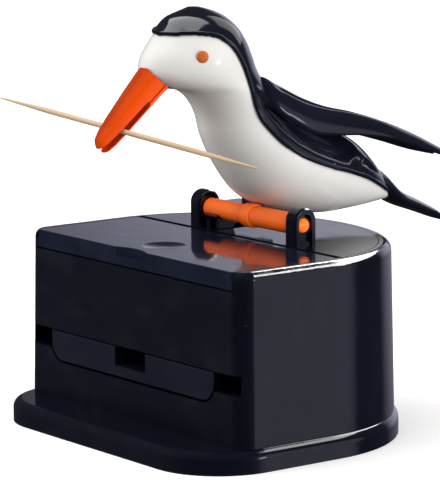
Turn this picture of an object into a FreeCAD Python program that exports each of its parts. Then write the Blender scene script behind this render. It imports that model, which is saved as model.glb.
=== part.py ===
import FreeCAD, Part
import math
import os

# Toothpick dispenser: a bird that dips over a D-shaped box and takes one pick from a drawer.
# Millimetres.  +X is the bird's left-right axis, -Y is the front, +Z is up.
# The origin is on the underside of the base, on the middle plane.
# Points in the middle plane are written (y, z).

V = FreeCAD.Vector
UP = V(0, 0, 1)
ALONG_X = V(1, 0, 0)

# ---------------------------------------------------------------- driving dimensions
# box
HALF_WIDTH = 38.0          # of the box at its top
BOX_TOP = 40.5
Y_FRONT = -38.0            # front face at the top
Y_SIDE_END = -14.2         # straight sides end here and the round back starts
BACK_DEPTH = 34.0          # depth of the round back
DRAFT = 0.6                # how much the walls grow down to the base
FRONT_CORNER = 3.5
WALL = 2.6
TOP_ROUND = 1.7
# base
BASE_HEIGHT = 4.8
BASE_FLOOR = 2.4
BASE_SIDE = 1.3            # flange beyond the box at the sides
BASE_BACK = 0.6
BASE_LEDGE = 10.2          # flange beyond the box at the front
BASE_CORNER = 15.5
BASE_ROUND = 1.9
RIM_HEIGHT = 3.0
RIM_WALL = 1.6
FIT = 0.15                 # play between moulded parts
INNER_CORNER = 1.2         # of the box inside
RIM_CORNER = 1.0
LEDGE_LOW = 36.2           # ledge that carries the deck
LEDGE_HIGH = 38.3
LEDGE_REACH = 1.6
WEB_HALF = 0.8             # half thickness of the webs beside the screw posts
WEB_END = 35.9
RAIL_X = (23.2, 25.0)      # rails that the drawer slides on
RAIL_Y = (-34.0, -19.0)
# lid, deck and hinge
PLATE = 2.1
SEAM_Y = -10.0             # between lid and deck
SEAM = 0.3
LID_SIDE = 35.1
SKIRT_BOTTOM = 36.6
HINGE_Y = SEAM_Y - 1.6
HINGE_Z = 39.05
HINGE_R = 1.45
HINGE_PIN_R = 0.7
HINGE_PIN_START = 31.4
HINGE_PIN_END = 37.0
LID_ROUND = 1.1
LID_RIB_X = 22.0
LID_RIB_Y = (-30.0, -18.0)
LID_RIB_HALF = 0.6
LID_RIB_DEPTH = 1.2
# perch
AXLE_Y = -6.3
AXLE_Z = 44.5
JOURNAL_R = 1.6
LEFT_BAR_R = 2.12
RIGHT_BAR_R = 2.25
COLLAR_R = 2.62
COLLAR_X = -1.6
COLLAR_WIDTH = 3.2
BRACKET_IN = 15.0
BRACKET_OUT = 18.5
BRACKET_HALF = 2.85
ARCH_Z = 45.4
RECESS_HALF = 1.75
RECESS_DEPTH = 1.1
RECESS_DROP = 0.25         # centre of the recess's arch below that of the bracket
BRACKET_ROUND = 0.55
TENON_X = 1.2              # half sizes of the foot that plugs into the deck
TENON_Y = 1.9
TENON_PLAY = 0.1
SADDLE_PLAY = 0.1          # between rings on the perch
END_PLAY = 0.12
RUNNING = 0.06             # radial play of a journal
# motion
DIP = 62.0                 # degrees that the bird dips
DRAWER_OUT = 5.6
# picks
PICK_LENGTH = 65.0
PICK_R = 0.7
PICK_TAPER = 9.0
# drawer and its opening
SLOT_TOP = 19.6
ARM_BOTTOM = 15.5
ARM_X = 37.2
SLOT_BACK = -30.0
PANEL_X = 29.2
PANEL_BOTTOM = 12.95
PANEL_CORNER = 4.0
PANEL_T = 2.0
PANEL_GAP = 0.35
NOTCH_X = 5.45
NOTCH_BOTTOM = 15.3
PICK_Y = -35.2             # pick waiting in the drawer
GROOVE_FLOOR = 17.4
TRAY_BOTTOM = 13.3
SHELF_TOP = 18.9
# drive
DRIVE_X = -11.4
LEVER_R = 10.0             # drive pin from the perch axle
MID_ANGLE = -78.0          # of the drive pin at half dip
PIVOT_D = 24.0             # rocker pivot from the perch axle
DRIVE_PIN_R = 1.0
DRIVE_PLAY = 0.45
YOKE_PIN_R = 0.9

HALF_DIP = math.radians(DIP / 2)
MID = math.radians(MID_ANGLE)
PIVOT_Y = AXLE_Y + PIVOT_D * math.cos(MID)
PIVOT_Z = AXLE_Z + PIVOT_D * math.sin(MID)
ROCK_HALF = math.atan2(LEVER_R * math.sin(HALF_DIP), PIVOT_D - LEVER_R * math.cos(HALF_DIP))
YOKE_R = DRAWER_OUT / 2 / math.sin(ROCK_HALF)
YOKE_Y = PIVOT_Y + DRAWER_OUT / 2
YOKE_Z = PIVOT_Z - YOKE_R * math.cos(ROCK_HALF)


# ---------------------------------------------------------------- general helpers
FAR = 60.0                 # reach of a cutting tool well past what it cuts
FLAT = 1e-3                # a box thinner than this is flat
THIN = 1e-6


def box(x0, x1, y0, y1, z0, z1):
    return Part.makeBox(x1 - x0, y1 - y0, z1 - z0, V(x0, y0, z0))


def rod_x(x0, x1, y, z, radius):
    return Part.makeCylinder(radius, x1 - x0, V(x0, y, z), ALONG_X)


def post(x, y, z0, z1, radius):
    return Part.makeCylinder(radius, z1 - z0, V(x, y, z0), UP)


def tube_x(x0, x1, y, z, outer, inner):
    return rod_x(x0, x1, y, z, outer).cut(rod_x(x0 - 1, x1 + 1, y, z, inner))


def side_prism(points, x0, x1):
    """Solid from a closed polygon of (y, z) points, from x0 to x1."""
    corners = [V(x0, y, z) for y, z in points]
    wire = Part.makePolygon(corners + corners[:1])
    return Part.Face(wire).extrude(V(x1 - x0, 0, 0))


def fuse(shapes, refine=True):
    whole = shapes[0]
    for shape in shapes[1:]:
        whole = whole.fuse(shape)
    return whole.removeSplitter() if refine else whole


def cut_all(shape, tools):
    for tool in tools:
        shape = shape.cut(tool)
    return shape


def mirror_x(shape):
    return shape.mirror(V(0, 0, 0), ALONG_X)


def pair(shape):
    return [shape, mirror_x(shape)]


def polar(y, z, radius, angle):
    """(y, z) of a point at a radius and an angle in radians about (y, z)."""
    return y + radius * math.cos(angle), z + radius * math.sin(angle)


def edges_where(shape, test):
    return [edge for edge in shape.Edges if test(edge.BoundBox)]


def filleted(shape, radius, test):
    return shape.makeFillet(radius, edges_where(shape, test))


def save(name, shape):
    solids = shape.Solids
    whole = solids[0] if len(solids) == 1 else Part.makeCompound(solids)
    whole.exportStep(os.path.join("parts", name + ".step"))
    print(f"{name:20s} solids {len(solids):2d} valid {whole.isValid()} volume {whole.Volume:10.1f}")


# ---------------------------------------------------------------- outlines seen from above
def d_outline(z, grow, front_grow=None, corner=FRONT_CORNER, back_grow=None):
    """D-shaped wire at height z: straight front and sides, half an ellipse at the back."""
    front_grow = grow if front_grow is None else front_grow
    back_grow = grow if back_grow is None else back_grow
    x = HALF_WIDTH + grow
    y = Y_FRONT - front_grow
    r = corner
    bend = r * (1 - math.sqrt(0.5))
    oval = Part.Ellipse(V(0, Y_SIDE_END, z), x, BACK_DEPTH + back_grow)
    edges = [
        Part.LineSegment(V(r - x, y, z), V(x - r, y, z)).toShape(),
        Part.Arc(V(x - r, y, z), V(x - bend, y + bend, z), V(x, y + r, z)).toShape(),
        Part.LineSegment(V(x, y + r, z), V(x, Y_SIDE_END, z)).toShape(),
        Part.ArcOfEllipse(oval, 0, math.pi).toShape(),
        Part.LineSegment(V(-x, Y_SIDE_END, z), V(-x, y + r, z)).toShape(),
        Part.Arc(V(-x, y + r, z), V(bend - x, y + bend, z), V(r - x, y, z)).toShape(),
    ]
    return Part.Wire(edges)


def wall_grow(z):
    """How far the drafted wall stands outside its top outline at height z."""
    return DRAFT * (BOX_TOP - z) / (BOX_TOP - BASE_HEIGHT)


def d_block(z0, z1, inset, corner=FRONT_CORNER):
    """Drafted solid that follows the box walls, inset from their outside."""
    low = d_outline(z0, wall_grow(z0) - inset, corner=corner)
    high = d_outline(z1, wall_grow(z1) - inset, corner=corner)
    return Part.makeLoft([low, high], True, True)


def d_plate(z0, z1, inset, corner=FRONT_CORNER):
    wire = d_outline(z0, -inset, corner=corner)
    return Part.Face(wire).extrude(V(0, 0, z1 - z0))


# ---------------------------------------------------------------- box
SCREW_PLACES = [(-29.5, -31.0), (29.5, -31.0), (-24.0, 5.0), (24.0, 5.0)]
CHUTE_LEG_X = 27.0
CHUTE_LEG_Y = -13.9
BOSS_R = 3.0
BOSS_TOP = 12.0
SCREW_R = 1.3
PILOT_R = 1.0              # thread root of the screws, and their holes in the posts
BASE_SCREW_LENGTH = 9.5
SCREW_HEAD_R = 2.6
SCREW_HEAD_T = 1.6
HEAD_DEPTH = 0.3           # screw heads lie this far above the underside
PAD_PLACES = [(-30.0, -38.0), (30.0, -38.0), (-17.0, 12.4), (17.0, 12.4)]
PAD_R = 4.0
PAD_T = 1.2


def base_places():
    return SCREW_PLACES + [(-CHUTE_LEG_X, CHUTE_LEG_Y), (CHUTE_LEG_X, CHUTE_LEG_Y)]


def slot_opening(play):
    """T-shaped opening of the front wall: room for the drawer front and for the pick's ends."""
    x = PANEL_X + play
    low = PANEL_BOTTOM - play
    r = PANEL_CORNER + play
    middle = box(-x, x, -FAR, SLOT_BACK, low, SLOT_TOP)
    middle = filleted(middle, r, lambda b: b.XLength < THIN and abs(b.ZMax - low) < THIN)
    arms = box(-ARM_X, ARM_X, -FAR, SLOT_BACK, ARM_BOTTOM, SLOT_TOP)
    return middle.fuse(arms)


def web_blocks(half, z0, z1):
    """Blocks from each screw post outwards to the side wall."""
    blocks = []
    for x, y in SCREW_PLACES:
        block = box(abs(x), WEB_END, y - half, y + half, z0, z1)
        blocks.append(block if x > 0 else mirror_x(block))
    return blocks


def body_shell():
    outer = d_block(BASE_HEIGHT, BOX_TOP, 0)
    outer = filleted(outer, TOP_ROUND, lambda b: b.ZLength < THIN and b.ZMax > BOX_TOP - FLAT)
    shell = outer.cut(d_block(BASE_HEIGHT - 1, BOX_TOP + 1, WALL, INNER_CORNER))
    ledge = d_block(LEDGE_LOW, LEDGE_HIGH, WALL - 0.4, INNER_CORNER)
    ledge = ledge.cut(d_block(LEDGE_LOW - 1, LEDGE_HIGH + 1, WALL + LEDGE_REACH, INNER_CORNER))
    ledge = ledge.common(box(-FAR, FAR, SEAM_Y + 1.2, FAR, LEDGE_LOW - 1, LEDGE_HIGH + 1))
    lid_room = box(-LID_SIDE - FIT, LID_SIDE + FIT, -FAR, Y_FRONT + 4, SKIRT_BOTTOM - FIT, FAR)
    bosses = [post(x, y, BASE_HEIGHT, BOSS_TOP, BOSS_R) for x, y in SCREW_PLACES]
    inside = d_block(BASE_HEIGHT, BOX_TOP, WALL / 2)
    webs = [web.common(inside) for web in web_blocks(WEB_HALF, BASE_HEIGHT, BOSS_TOP)]
    shell = fuse([shell.cut(lid_room), ledge] + bosses + webs)
    pilots = [post(x, y, 0, BOSS_TOP - 1, PILOT_R) for x, y in SCREW_PLACES]
    pins = pair(rod_x(LID_SIDE - 1.1, HINGE_PIN_END + 0.1, HINGE_Y, HINGE_Z, HINGE_PIN_R))
    return cut_all(shell, [slot_opening(PANEL_GAP)] + pilots + pins)


def base_plate():
    side = DRAFT + BASE_SIDE
    front = DRAFT + BASE_LEDGE
    back = DRAFT + BASE_BACK
    wire = d_outline(0, side, front, BASE_CORNER, back)
    plate = Part.Face(wire).extrude(V(0, 0, BASE_HEIGHT))
    plate = filleted(plate, BASE_ROUND, lambda b: b.ZLength < THIN and b.ZMax > BASE_HEIGHT - FLAT)
    inside = WALL + FIT
    rim = d_block(BASE_FLOOR, BASE_HEIGHT + RIM_HEIGHT, inside, RIM_CORNER)
    pocket = d_block(BASE_FLOOR, BASE_HEIGHT + RIM_HEIGHT + 1, inside + RIM_WALL, RIM_CORNER)
    bosses = [post(x, y, BASE_FLOOR, BASE_HEIGHT - FIT, BOSS_R) for x, y in SCREW_PLACES]
    legs = [post(x, y, BASE_FLOOR, BASE_HEIGHT, BOSS_R) for x, y in base_places()[4:]]
    rails = pair(box(*RAIL_X, *RAIL_Y, BASE_FLOOR, TRAY_BOTTOM - 0.1))
    plate = plate.fuse(rim).cut(pocket)
    boss_room = [post(x, y, BASE_HEIGHT - FIT, BOSS_TOP, BOSS_R + 2 * FIT) for x, y in SCREW_PLACES]
    web_room = web_blocks(WEB_HALF + 2 * FIT, BASE_HEIGHT - FIT, BOSS_TOP)
    plate = cut_all(plate, boss_room + web_room)
    plate = fuse([plate] + bosses + legs + rails + rocker_stands())
    holes = []
    for x, y in base_places():
        holes.append(post(x, y, -1, BASE_HEIGHT + RIM_HEIGHT, SCREW_R + FIT))
        holes.append(post(x, y, -1, HEAD_DEPTH + SCREW_HEAD_T, SCREW_HEAD_R + FIT))
    pads = [post(x, y, -1, PAD_T, PAD_R) for x, y in PAD_PLACES]
    return cut_all(plate, holes + pads)


STAND_GAP = 5.4            # half the room between the two rocker stands
STAND_T = 1.8
STAND_FOOT = 5.0           # half length of a stand's foot
STAND_HEAD_R = 2.4
SHAFT_R = 1.2


def rocker_stands():
    stands = []
    for side in (-1, 1):
        inner = DRIVE_X + side * STAND_GAP
        outer = inner + side * STAND_T
        x0, x1 = min(inner, outer), max(inner, outer)
        foot = side_prism([(PIVOT_Y - STAND_FOOT, BASE_FLOOR), (PIVOT_Y + STAND_FOOT, BASE_FLOOR),
                           (PIVOT_Y + STAND_HEAD_R, PIVOT_Z), (PIVOT_Y - STAND_HEAD_R, PIVOT_Z)], x0, x1)
        head = rod_x(x0, x1, PIVOT_Y, PIVOT_Z, STAND_HEAD_R)
        bore = rod_x(x0 - 1, x1 + 1, PIVOT_Y, PIVOT_Z, SHAFT_R)
        stands.append(foot.fuse(head).cut(bore))
    return stands


def anti_slip_pads():
    return Part.makeCompound([post(x, y, 0, PAD_T, PAD_R - 0.05) for x, y in PAD_PLACES])


CROSS_REACH = 1.4          # half length and half width of a screw's cross recess
CROSS_HALF = 0.35
CROSS_DEPTH = 0.6
HEAD_ROUND = 0.4


def screw(x, y, z, length, radius, head_radius, head):
    """Pan-head screw standing head down at height z."""
    top = post(x, y, z, z + head, head_radius)
    top = filleted(top, HEAD_ROUND, lambda b: b.ZMax < z + FLAT)
    drive = box(x - CROSS_HALF, x + CROSS_HALF, y - CROSS_REACH, y + CROSS_REACH, z - 1, z + CROSS_DEPTH)
    cross = box(x - CROSS_REACH, x + CROSS_REACH, y - CROSS_HALF, y + CROSS_HALF, z - 1, z + CROSS_DEPTH)
    return top.fuse(post(x, y, z + head, z + length, radius)).cut(drive).cut(cross)


def base_screws():
    screws = [screw(x, y, HEAD_DEPTH, BASE_SCREW_LENGTH, PILOT_R, SCREW_HEAD_R, SCREW_HEAD_T)
              for x, y in base_places()]
    return Part.makeCompound(screws)


# ---------------------------------------------------------------- deck
DECK_BOTTOM = BOX_TOP - PLATE
DECK_SLOT_X = 3.1          # half width of the lever slot
DECK_SLOT_BACK = 2.7
DECK_SLOT_FRONT = 0.9      # web between the seam and the slot
DECK_SLOT_ROUND = 0.8
DECK_BOSSES = [(-29.0, -5.5), (29.0, -5.5), (-14.0, 10.4), (14.0, 10.4)]
DECK_BOSS_LOW = 33.0
DECK_BOSS_R = 2.2
DECK_SCREW_R = 0.8
DECK_SCREW_LENGTH = 6.8
DECK_HEAD_R = 2.0
SMALL_HEAD_T = 1.3
BRACKET_SCREW_R = 0.65
BRACKET_SCREW_LENGTH = 5.2
BRACKET_HEAD_R = 1.9
BRACKET_PILOT_TOP = 42.6
BRACKET_X = (BRACKET_IN + BRACKET_OUT) / 2
EAR_R = 2.6
EAR_Z = 31.2
EAR_T = 1.6
EAR_HOLE_R = 1.15


def rear_deck():
    deck = d_plate(DECK_BOTTOM, BOX_TOP, WALL + FIT, INNER_CORNER)
    deck = deck.common(box(-FAR, FAR, SEAM_Y + SEAM / 2, FAR, 0, FAR))
    slot = box(DRIVE_X - DECK_SLOT_X, DRIVE_X + DECK_SLOT_X, SEAM_Y + DECK_SLOT_FRONT, DECK_SLOT_BACK,
               DECK_BOSS_LOW, FAR)
    slot = filleted(slot, DECK_SLOT_ROUND, lambda b: b.ZLength > 10)
    half_x, half_y = TENON_X + TENON_PLAY, TENON_Y + TENON_PLAY
    tenons = pair(box(BRACKET_X - half_x, BRACKET_X + half_x, AXLE_Y - half_y, AXLE_Y + half_y,
                      DECK_BOSS_LOW, FAR))
    bosses = [post(x, y, DECK_BOSS_LOW, DECK_BOTTOM, DECK_BOSS_R) for x, y in DECK_BOSSES]
    pilots = [post(x, y, DECK_BOSS_LOW - 1, DECK_BOTTOM, DECK_SCREW_R) for x, y in DECK_BOSSES]
    return cut_all(fuse([deck] + bosses), [slot] + tenons + pilots)


def deck_tabs():
    """Ears inside the box wall that the deck's screws pull against."""
    tabs = []
    for x, y in DECK_BOSSES:
        if y > 0:
            reach = box(x - EAR_R, x + EAR_R, y, y + 15, EAR_Z, EAR_Z + EAR_T)
        else:
            reach = box(abs(x), FAR, y - EAR_R, y + EAR_R, EAR_Z, EAR_Z + EAR_T)
            reach = reach if x > 0 else mirror_x(reach)
        ear = post(x, y, EAR_Z, EAR_Z + EAR_T, EAR_R).fuse(reach)
        inside = d_block(EAR_Z - 1, EAR_Z + EAR_T + 1, WALL / 2)
        tabs.append(ear.common(inside).cut(post(x, y, EAR_Z - 1, EAR_Z + EAR_T + 1, EAR_HOLE_R)))
    return tabs


def deck_screws():
    return Part.makeCompound([screw(x, y, EAR_Z - SMALL_HEAD_T, DECK_SCREW_LENGTH, DECK_SCREW_R,
                                    DECK_HEAD_R, SMALL_HEAD_T) for x, y in DECK_BOSSES])


def bracket(side):
    """Arched ear that carries one end of the perch."""
    arch = rod_x(BRACKET_IN, BRACKET_OUT, AXLE_Y, ARCH_Z, BRACKET_HALF)
    leg = box(BRACKET_IN, BRACKET_OUT, AXLE_Y - BRACKET_HALF, AXLE_Y + BRACKET_HALF, BOX_TOP, ARCH_Z)
    ear = arch.fuse(leg).removeSplitter()
    ear = filleted(ear, BRACKET_ROUND, lambda b: b.XLength < THIN and b.ZMax > BOX_TOP + 1)
    floor = BRACKET_OUT - RECESS_DEPTH
    recess = rod_x(floor, BRACKET_OUT + 1, AXLE_Y, ARCH_Z - RECESS_DROP, RECESS_HALF)
    recess = recess.fuse(box(floor, BRACKET_OUT + 1, AXLE_Y - RECESS_HALF, AXLE_Y + RECESS_HALF,
                             BOX_TOP - 1, ARCH_Z - RECESS_DROP))
    tenon = box(BRACKET_X - TENON_X, BRACKET_X + TENON_X, AXLE_Y - TENON_Y, AXLE_Y + TENON_Y,
                DECK_BOTTOM + TENON_PLAY, BOX_TOP + 0.5)
    bore = rod_x(BRACKET_IN - 5, BRACKET_OUT + 5, AXLE_Y, AXLE_Z, JOURNAL_R + RUNNING)
    pilot = post(BRACKET_X, AXLE_Y, DECK_BOSS_LOW, BRACKET_PILOT_TOP, BRACKET_SCREW_R)
    ear = cut_all(ear.cut(recess).fuse(tenon).removeSplitter(), [bore, pilot])
    return ear if side > 0 else mirror_x(ear)


def bracket_screws():
    one = screw(BRACKET_X, AXLE_Y, DECK_BOTTOM - SMALL_HEAD_T, BRACKET_SCREW_LENGTH, BRACKET_SCREW_R,
                BRACKET_HEAD_R, SMALL_HEAD_T)
    return Part.makeCompound(pair(one))


# ---------------------------------------------------------------- lid
SCOOP_HALF = 5.6
SCOOP_DEPTH = 1.4
SCOOP_TALL = 1.9
THUMB_R = 4.7
THUMB_Y = -29.4
THUMB_DEPTH = 0.45


def lid():
    front = Y_FRONT - wall_grow(BOX_TOP)
    plate = box(-LID_SIDE, LID_SIDE, front, HINGE_Y, DECK_BOTTOM, BOX_TOP)
    skirt = box(-LID_SIDE, LID_SIDE, front, front + PLATE, SKIRT_BOTTOM, DECK_BOTTOM)
    bead = rod_x(0.3 - LID_SIDE, LID_SIDE - 0.3, HINGE_Y, HINGE_Z, HINGE_R)
    cover = fuse([plate, skirt, bead])
    cover = filleted(cover, LID_ROUND, lambda b: b.YLength < THIN and b.ZLength < THIN
                     and abs(b.YMax - front) < FLAT and b.ZMax > BOX_TOP - FLAT)
    scoop_r = (SCOOP_HALF ** 2 + SCOOP_DEPTH ** 2) / 2 / SCOOP_DEPTH
    scoop = post(0, front - scoop_r + SCOOP_DEPTH, BOX_TOP - SCOOP_TALL, BOX_TOP, scoop_r)
    thumb_ball = (THUMB_R ** 2 + THUMB_DEPTH ** 2) / 2 / THUMB_DEPTH
    thumb = Part.makeSphere(thumb_ball, V(0, THUMB_Y, BOX_TOP + thumb_ball - THUMB_DEPTH))
    pins = pair(rod_x(HINGE_PIN_START - 0.4, LID_SIDE + 0.9, HINGE_Y, HINGE_Z, HINGE_PIN_R + 0.05))
    ribs = pair(box(LID_RIB_X - LID_RIB_HALF, LID_RIB_X + LID_RIB_HALF, *LID_RIB_Y,
                    DECK_BOTTOM - LID_RIB_DEPTH, DECK_BOTTOM))
    return cut_all(fuse([cover] + ribs), [scoop, thumb] + pins)


def lid_hinge_pins():
    return Part.makeCompound(pair(rod_x(HINGE_PIN_START, HINGE_PIN_END, HINGE_Y, HINGE_Z, HINGE_PIN_R)))


# ---------------------------------------------------------------- hopper
CHUTE_IN = 33.6
CHUTE_T = 1.4
CHUTE_FRONT = (-33.9, 19.4)
CHUTE_KNEE = (-15.4, 30.4)
CHUTE_BACK_Y = -13.8
CHUTE_TOP = 37.6
CHUTE_LIP = 1.6            # its lower edge slopes back by this much
CHEEK_TOP = 36.0
CHEEK_LOW = 9.0
CHEEK = [(-35.0, 20.2), (-35.0, CHEEK_TOP), (CHUTE_BACK_Y, CHEEK_TOP), (CHUTE_BACK_Y, CHEEK_LOW),
         (-22.0, CHEEK_LOW), (-30.0, CHUTE_FRONT[1]), CHUTE_FRONT]
CHUTE_LEG_HALF = 3.0
CHUTE_LEG_T = (CHUTE_LEG_Y - 2.2, CHUTE_BACK_Y + 1.6)
CHUTE_LEG_TOP = 32.0


def pick_chute():
    y0, z0 = CHUTE_FRONT
    y1, z1 = CHUTE_KNEE
    slope = math.atan2(z1 - z0, y1 - y0)
    drop = CHUTE_T / math.cos(slope)
    lip = (y0 + CHUTE_LIP, z0)
    floor = side_prism([(y0, z0), (y1, z1), (y1, CHUTE_TOP), (CHUTE_BACK_Y, CHUTE_TOP),
                        (CHUTE_BACK_Y, z1 - drop), lip], -CHUTE_IN, CHUTE_IN)
    cheek = side_prism(CHEEK, CHUTE_IN, CHUTE_IN + CHUTE_T)
    leg = box(CHUTE_LEG_X - CHUTE_LEG_HALF, CHUTE_LEG_X + CHUTE_LEG_HALF, *CHUTE_LEG_T,
              BASE_HEIGHT, CHUTE_LEG_TOP)
    pilot = post(CHUTE_LEG_X, CHUTE_LEG_Y, 0, BOSS_TOP, PILOT_R)
    under = side_prism([(y0, z0), (y1, z1), (y1, FAR), (-FAR, FAR), (-FAR, z0)], -FAR, FAR)
    legs = [shape.cut(under) for shape in pair(leg)]
    chute = fuse([floor] + pair(cheek) + legs)
    return cut_all(chute, pair(pilot))


# ---------------------------------------------------------------- drawer
TAIL_IN = 1.5              # half the room for the rocker between the yoke cheeks
TAIL_OUT = 4.2
TAIL_ROUND_YOKE = 2.6      # wall round the yoke pin's slot
YOKE_PLAY = 0.08
YOKE_DROP = 0.45           # the slot ends this far below the pin
ROCKER_ROOM = 6.6
TRAY_X = 26.2
TRAY_BACK = -21.0
TRAY_T = 2.2
SKIRT_T = 1.0
SKIRT_FRONT = -29.6
SKIRT_LOW = 9.5
CRADLE_X = 26.8
SHELF_DEPTH = 7.2
BEAK_ROOM = 2.4            # behind the waiting pick
PANEL_ROUND = 0.3


def feed_drawer():
    front = Y_FRONT - wall_grow(16.0) - 0.05
    back = front + PANEL_T
    panel = box(-PANEL_X, PANEL_X, front, back, PANEL_BOTTOM, SLOT_TOP - 0.25)
    panel = filleted(panel, PANEL_CORNER, lambda b: b.XLength < THIN and b.ZLength < THIN
                     and b.ZMax < PANEL_BOTTOM + FLAT)
    panel = filleted(panel, PANEL_ROUND, lambda b: b.YLength < THIN and b.YMax < front + FLAT)
    tray_top = TRAY_BOTTOM + TRAY_T
    tray = box(-TRAY_X, TRAY_X, back, TRAY_BACK, TRAY_BOTTOM, tray_top)
    skirts = pair(box(TRAY_X - SKIRT_T, TRAY_X, SKIRT_FRONT, TRAY_BACK, SKIRT_LOW, tray_top))
    groove_back = 2 * PICK_Y - back
    cradle = box(-CRADLE_X, CRADLE_X, back, groove_back + 0.4, TRAY_BOTTOM, GROOVE_FLOOR)
    shelf = box(-CRADLE_X, CRADLE_X, groove_back, groove_back + SHELF_DEPTH, TRAY_BOTTOM, SHELF_TOP)
    tail = box(DRIVE_X - TAIL_OUT, DRIVE_X + TAIL_OUT, TRAY_BACK - 0.2, YOKE_Y + TAIL_ROUND_YOKE,
               YOKE_Z - TAIL_ROUND_YOKE, tray_top)
    gap = box(DRIVE_X - TAIL_IN, DRIVE_X + TAIL_IN, YOKE_Y - ROCKER_ROOM, FAR, 0, FAR)
    slot_half = YOKE_PIN_R + YOKE_PLAY
    slot = rod_x(-FAR, FAR, YOKE_Y, YOKE_Z - YOKE_DROP, slot_half)
    slot = slot.fuse(box(-FAR, FAR, YOKE_Y - slot_half, YOKE_Y + slot_half, YOKE_Z - YOKE_DROP, FAR))
    beak_room = box(-NOTCH_X, NOTCH_X, front - 1, groove_back + BEAK_ROOM, NOTCH_BOTTOM, FAR)
    whole = fuse([panel, tray, cradle, shelf, tail] + skirts)
    return cut_all(whole, [gap, slot, beak_room])


# ---------------------------------------------------------------- rocker
ROCKER_HALF = 0.8          # half thickness of its arms
TINE = 1.3
TINE_END = 1.6
HUB_R = 2.5
ROCKER_TAIL_R = 1.9


def rocker_angle():
    """Direction from the pivot to the drive pin at rest, in radians."""
    return MID + math.pi + ROCK_HALF


def rocker():
    x0, x1 = DRIVE_X - ROCKER_HALF, DRIVE_X + ROCKER_HALF
    reach = PIVOT_D - LEVER_R * math.cos(HALF_DIP) + TINE_END
    near = PIVOT_D - LEVER_R - DRIVE_PIN_R - 0.5
    slot_half = DRIVE_PIN_R + DRIVE_PLAY
    arm_half = slot_half + TINE
    arm = box(x0, x1, PIVOT_Y - arm_half, PIVOT_Y + arm_half, PIVOT_Z, PIVOT_Z + reach)
    slot = box(x0 - 1, x1 + 1, PIVOT_Y - slot_half, PIVOT_Y + slot_half, PIVOT_Z + near, PIVOT_Z + FAR)
    arm = arm.cut(slot)
    arm.rotate(V(0, PIVOT_Y, PIVOT_Z), ALONG_X, math.degrees(rocker_angle()) - 90)
    tail = box(x0, x1, PIVOT_Y - ROCKER_TAIL_R, PIVOT_Y + ROCKER_TAIL_R, PIVOT_Z - YOKE_R, PIVOT_Z)
    tail = tail.fuse(rod_x(x0, x1, PIVOT_Y, PIVOT_Z - YOKE_R, ROCKER_TAIL_R))
    tail.rotate(V(0, PIVOT_Y, PIVOT_Z), ALONG_X, math.degrees(ROCK_HALF))
    hub = rod_x(DRIVE_X - STAND_GAP + 0.2, DRIVE_X + STAND_GAP - 0.2, PIVOT_Y, PIVOT_Z, HUB_R)
    bores = [rod_x(-FAR, FAR, PIVOT_Y, PIVOT_Z, SHAFT_R + RUNNING),
             rod_x(-FAR, FAR, YOKE_Y, YOKE_Z, YOKE_PIN_R)]
    return cut_all(fuse([arm, tail, hub]), bores)


def rocker_shaft():
    reach = STAND_GAP + STAND_T
    return rod_x(DRIVE_X - reach, DRIVE_X + reach, PIVOT_Y, PIVOT_Z, SHAFT_R)


def yoke_pin():
    return rod_x(DRIVE_X - TAIL_OUT + 0.3, DRIVE_X + TAIL_OUT - 0.3, YOKE_Y, YOKE_Z, YOKE_PIN_R)


SPRING_WIRE = 0.3
SPRING_R = 3.0
SPRING_TURNS = 4
SPRING_PITCH = 0.75
SPRING_LEG = 5.0


def return_spring():
    """Close-wound torsion spring round the rocker's hub: its turns, and a leg at each end."""
    start = DRIVE_X - STAND_GAP + 1.0
    turns = [Part.makeTorus(SPRING_R, SPRING_WIRE, V(start + i * SPRING_PITCH, PIVOT_Y, PIVOT_Z), ALONG_X)
             for i in range(SPRING_TURNS)]
    for i, side in ((0, -1), (-1, 1)):
        foot = V(start + (i % SPRING_TURNS) * SPRING_PITCH, PIVOT_Y + side * SPRING_R, PIVOT_Z)
        leg = Part.makeCylinder(SPRING_WIRE * 0.9, SPRING_LEG, foot, V(0, side * 0.35, -1))
        turns[i] = turns[i].fuse(leg)
    return Part.makeCompound(turns)


# ---------------------------------------------------------------- perch
PERCH_END_ROUND = 0.9
BAR_ROUND = 0.6
COLLAR_ROUND = 0.5
SLEEVE_ROUND = 0.25


def dome_rod(x0, x1, radius):
    """Perch rod with rounded ends."""
    rod = rod_x(x0, x1, AXLE_Y, AXLE_Z, radius)
    return filleted(rod, PERCH_END_ROUND, lambda b: b.XLength < THIN)


def perch_axle():
    end = BRACKET_OUT - 0.25
    rod = dome_rod(-end, end, JOURNAL_R)
    bar = rod_x(SADDLE_PLAY - BRACKET_IN, COLLAR_X - SADDLE_PLAY / 2, AXLE_Y, AXLE_Z, LEFT_BAR_R)
    bar = filleted(bar, BAR_ROUND, lambda b: b.XMax < 1 - BRACKET_IN and b.XLength < THIN)
    return fuse([rod, bar])


def perch_collar():
    ring = tube_x(COLLAR_X, COLLAR_X + COLLAR_WIDTH, AXLE_Y, AXLE_Z, COLLAR_R, JOURNAL_R)
    return filleted(ring, COLLAR_ROUND, lambda b: b.XLength < THIN and b.ZLength > 2 * COLLAR_R - 0.01)


def perch_sleeve():
    x0 = COLLAR_X + COLLAR_WIDTH + SADDLE_PLAY
    sleeve = tube_x(x0, BRACKET_IN - END_PLAY, AXLE_Y, AXLE_Z, RIGHT_BAR_R, JOURNAL_R + RUNNING)
    return filleted(sleeve, SLEEVE_ROUND, lambda b: b.XLength < THIN and b.ZLength > 2 * RIGHT_BAR_R - 0.01)


LEVER_CHEEK = 1.2
LEVER_HALF = 2.3
LEVER_EYE_R = 1.7
CRADLE_T = 0.9
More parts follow.
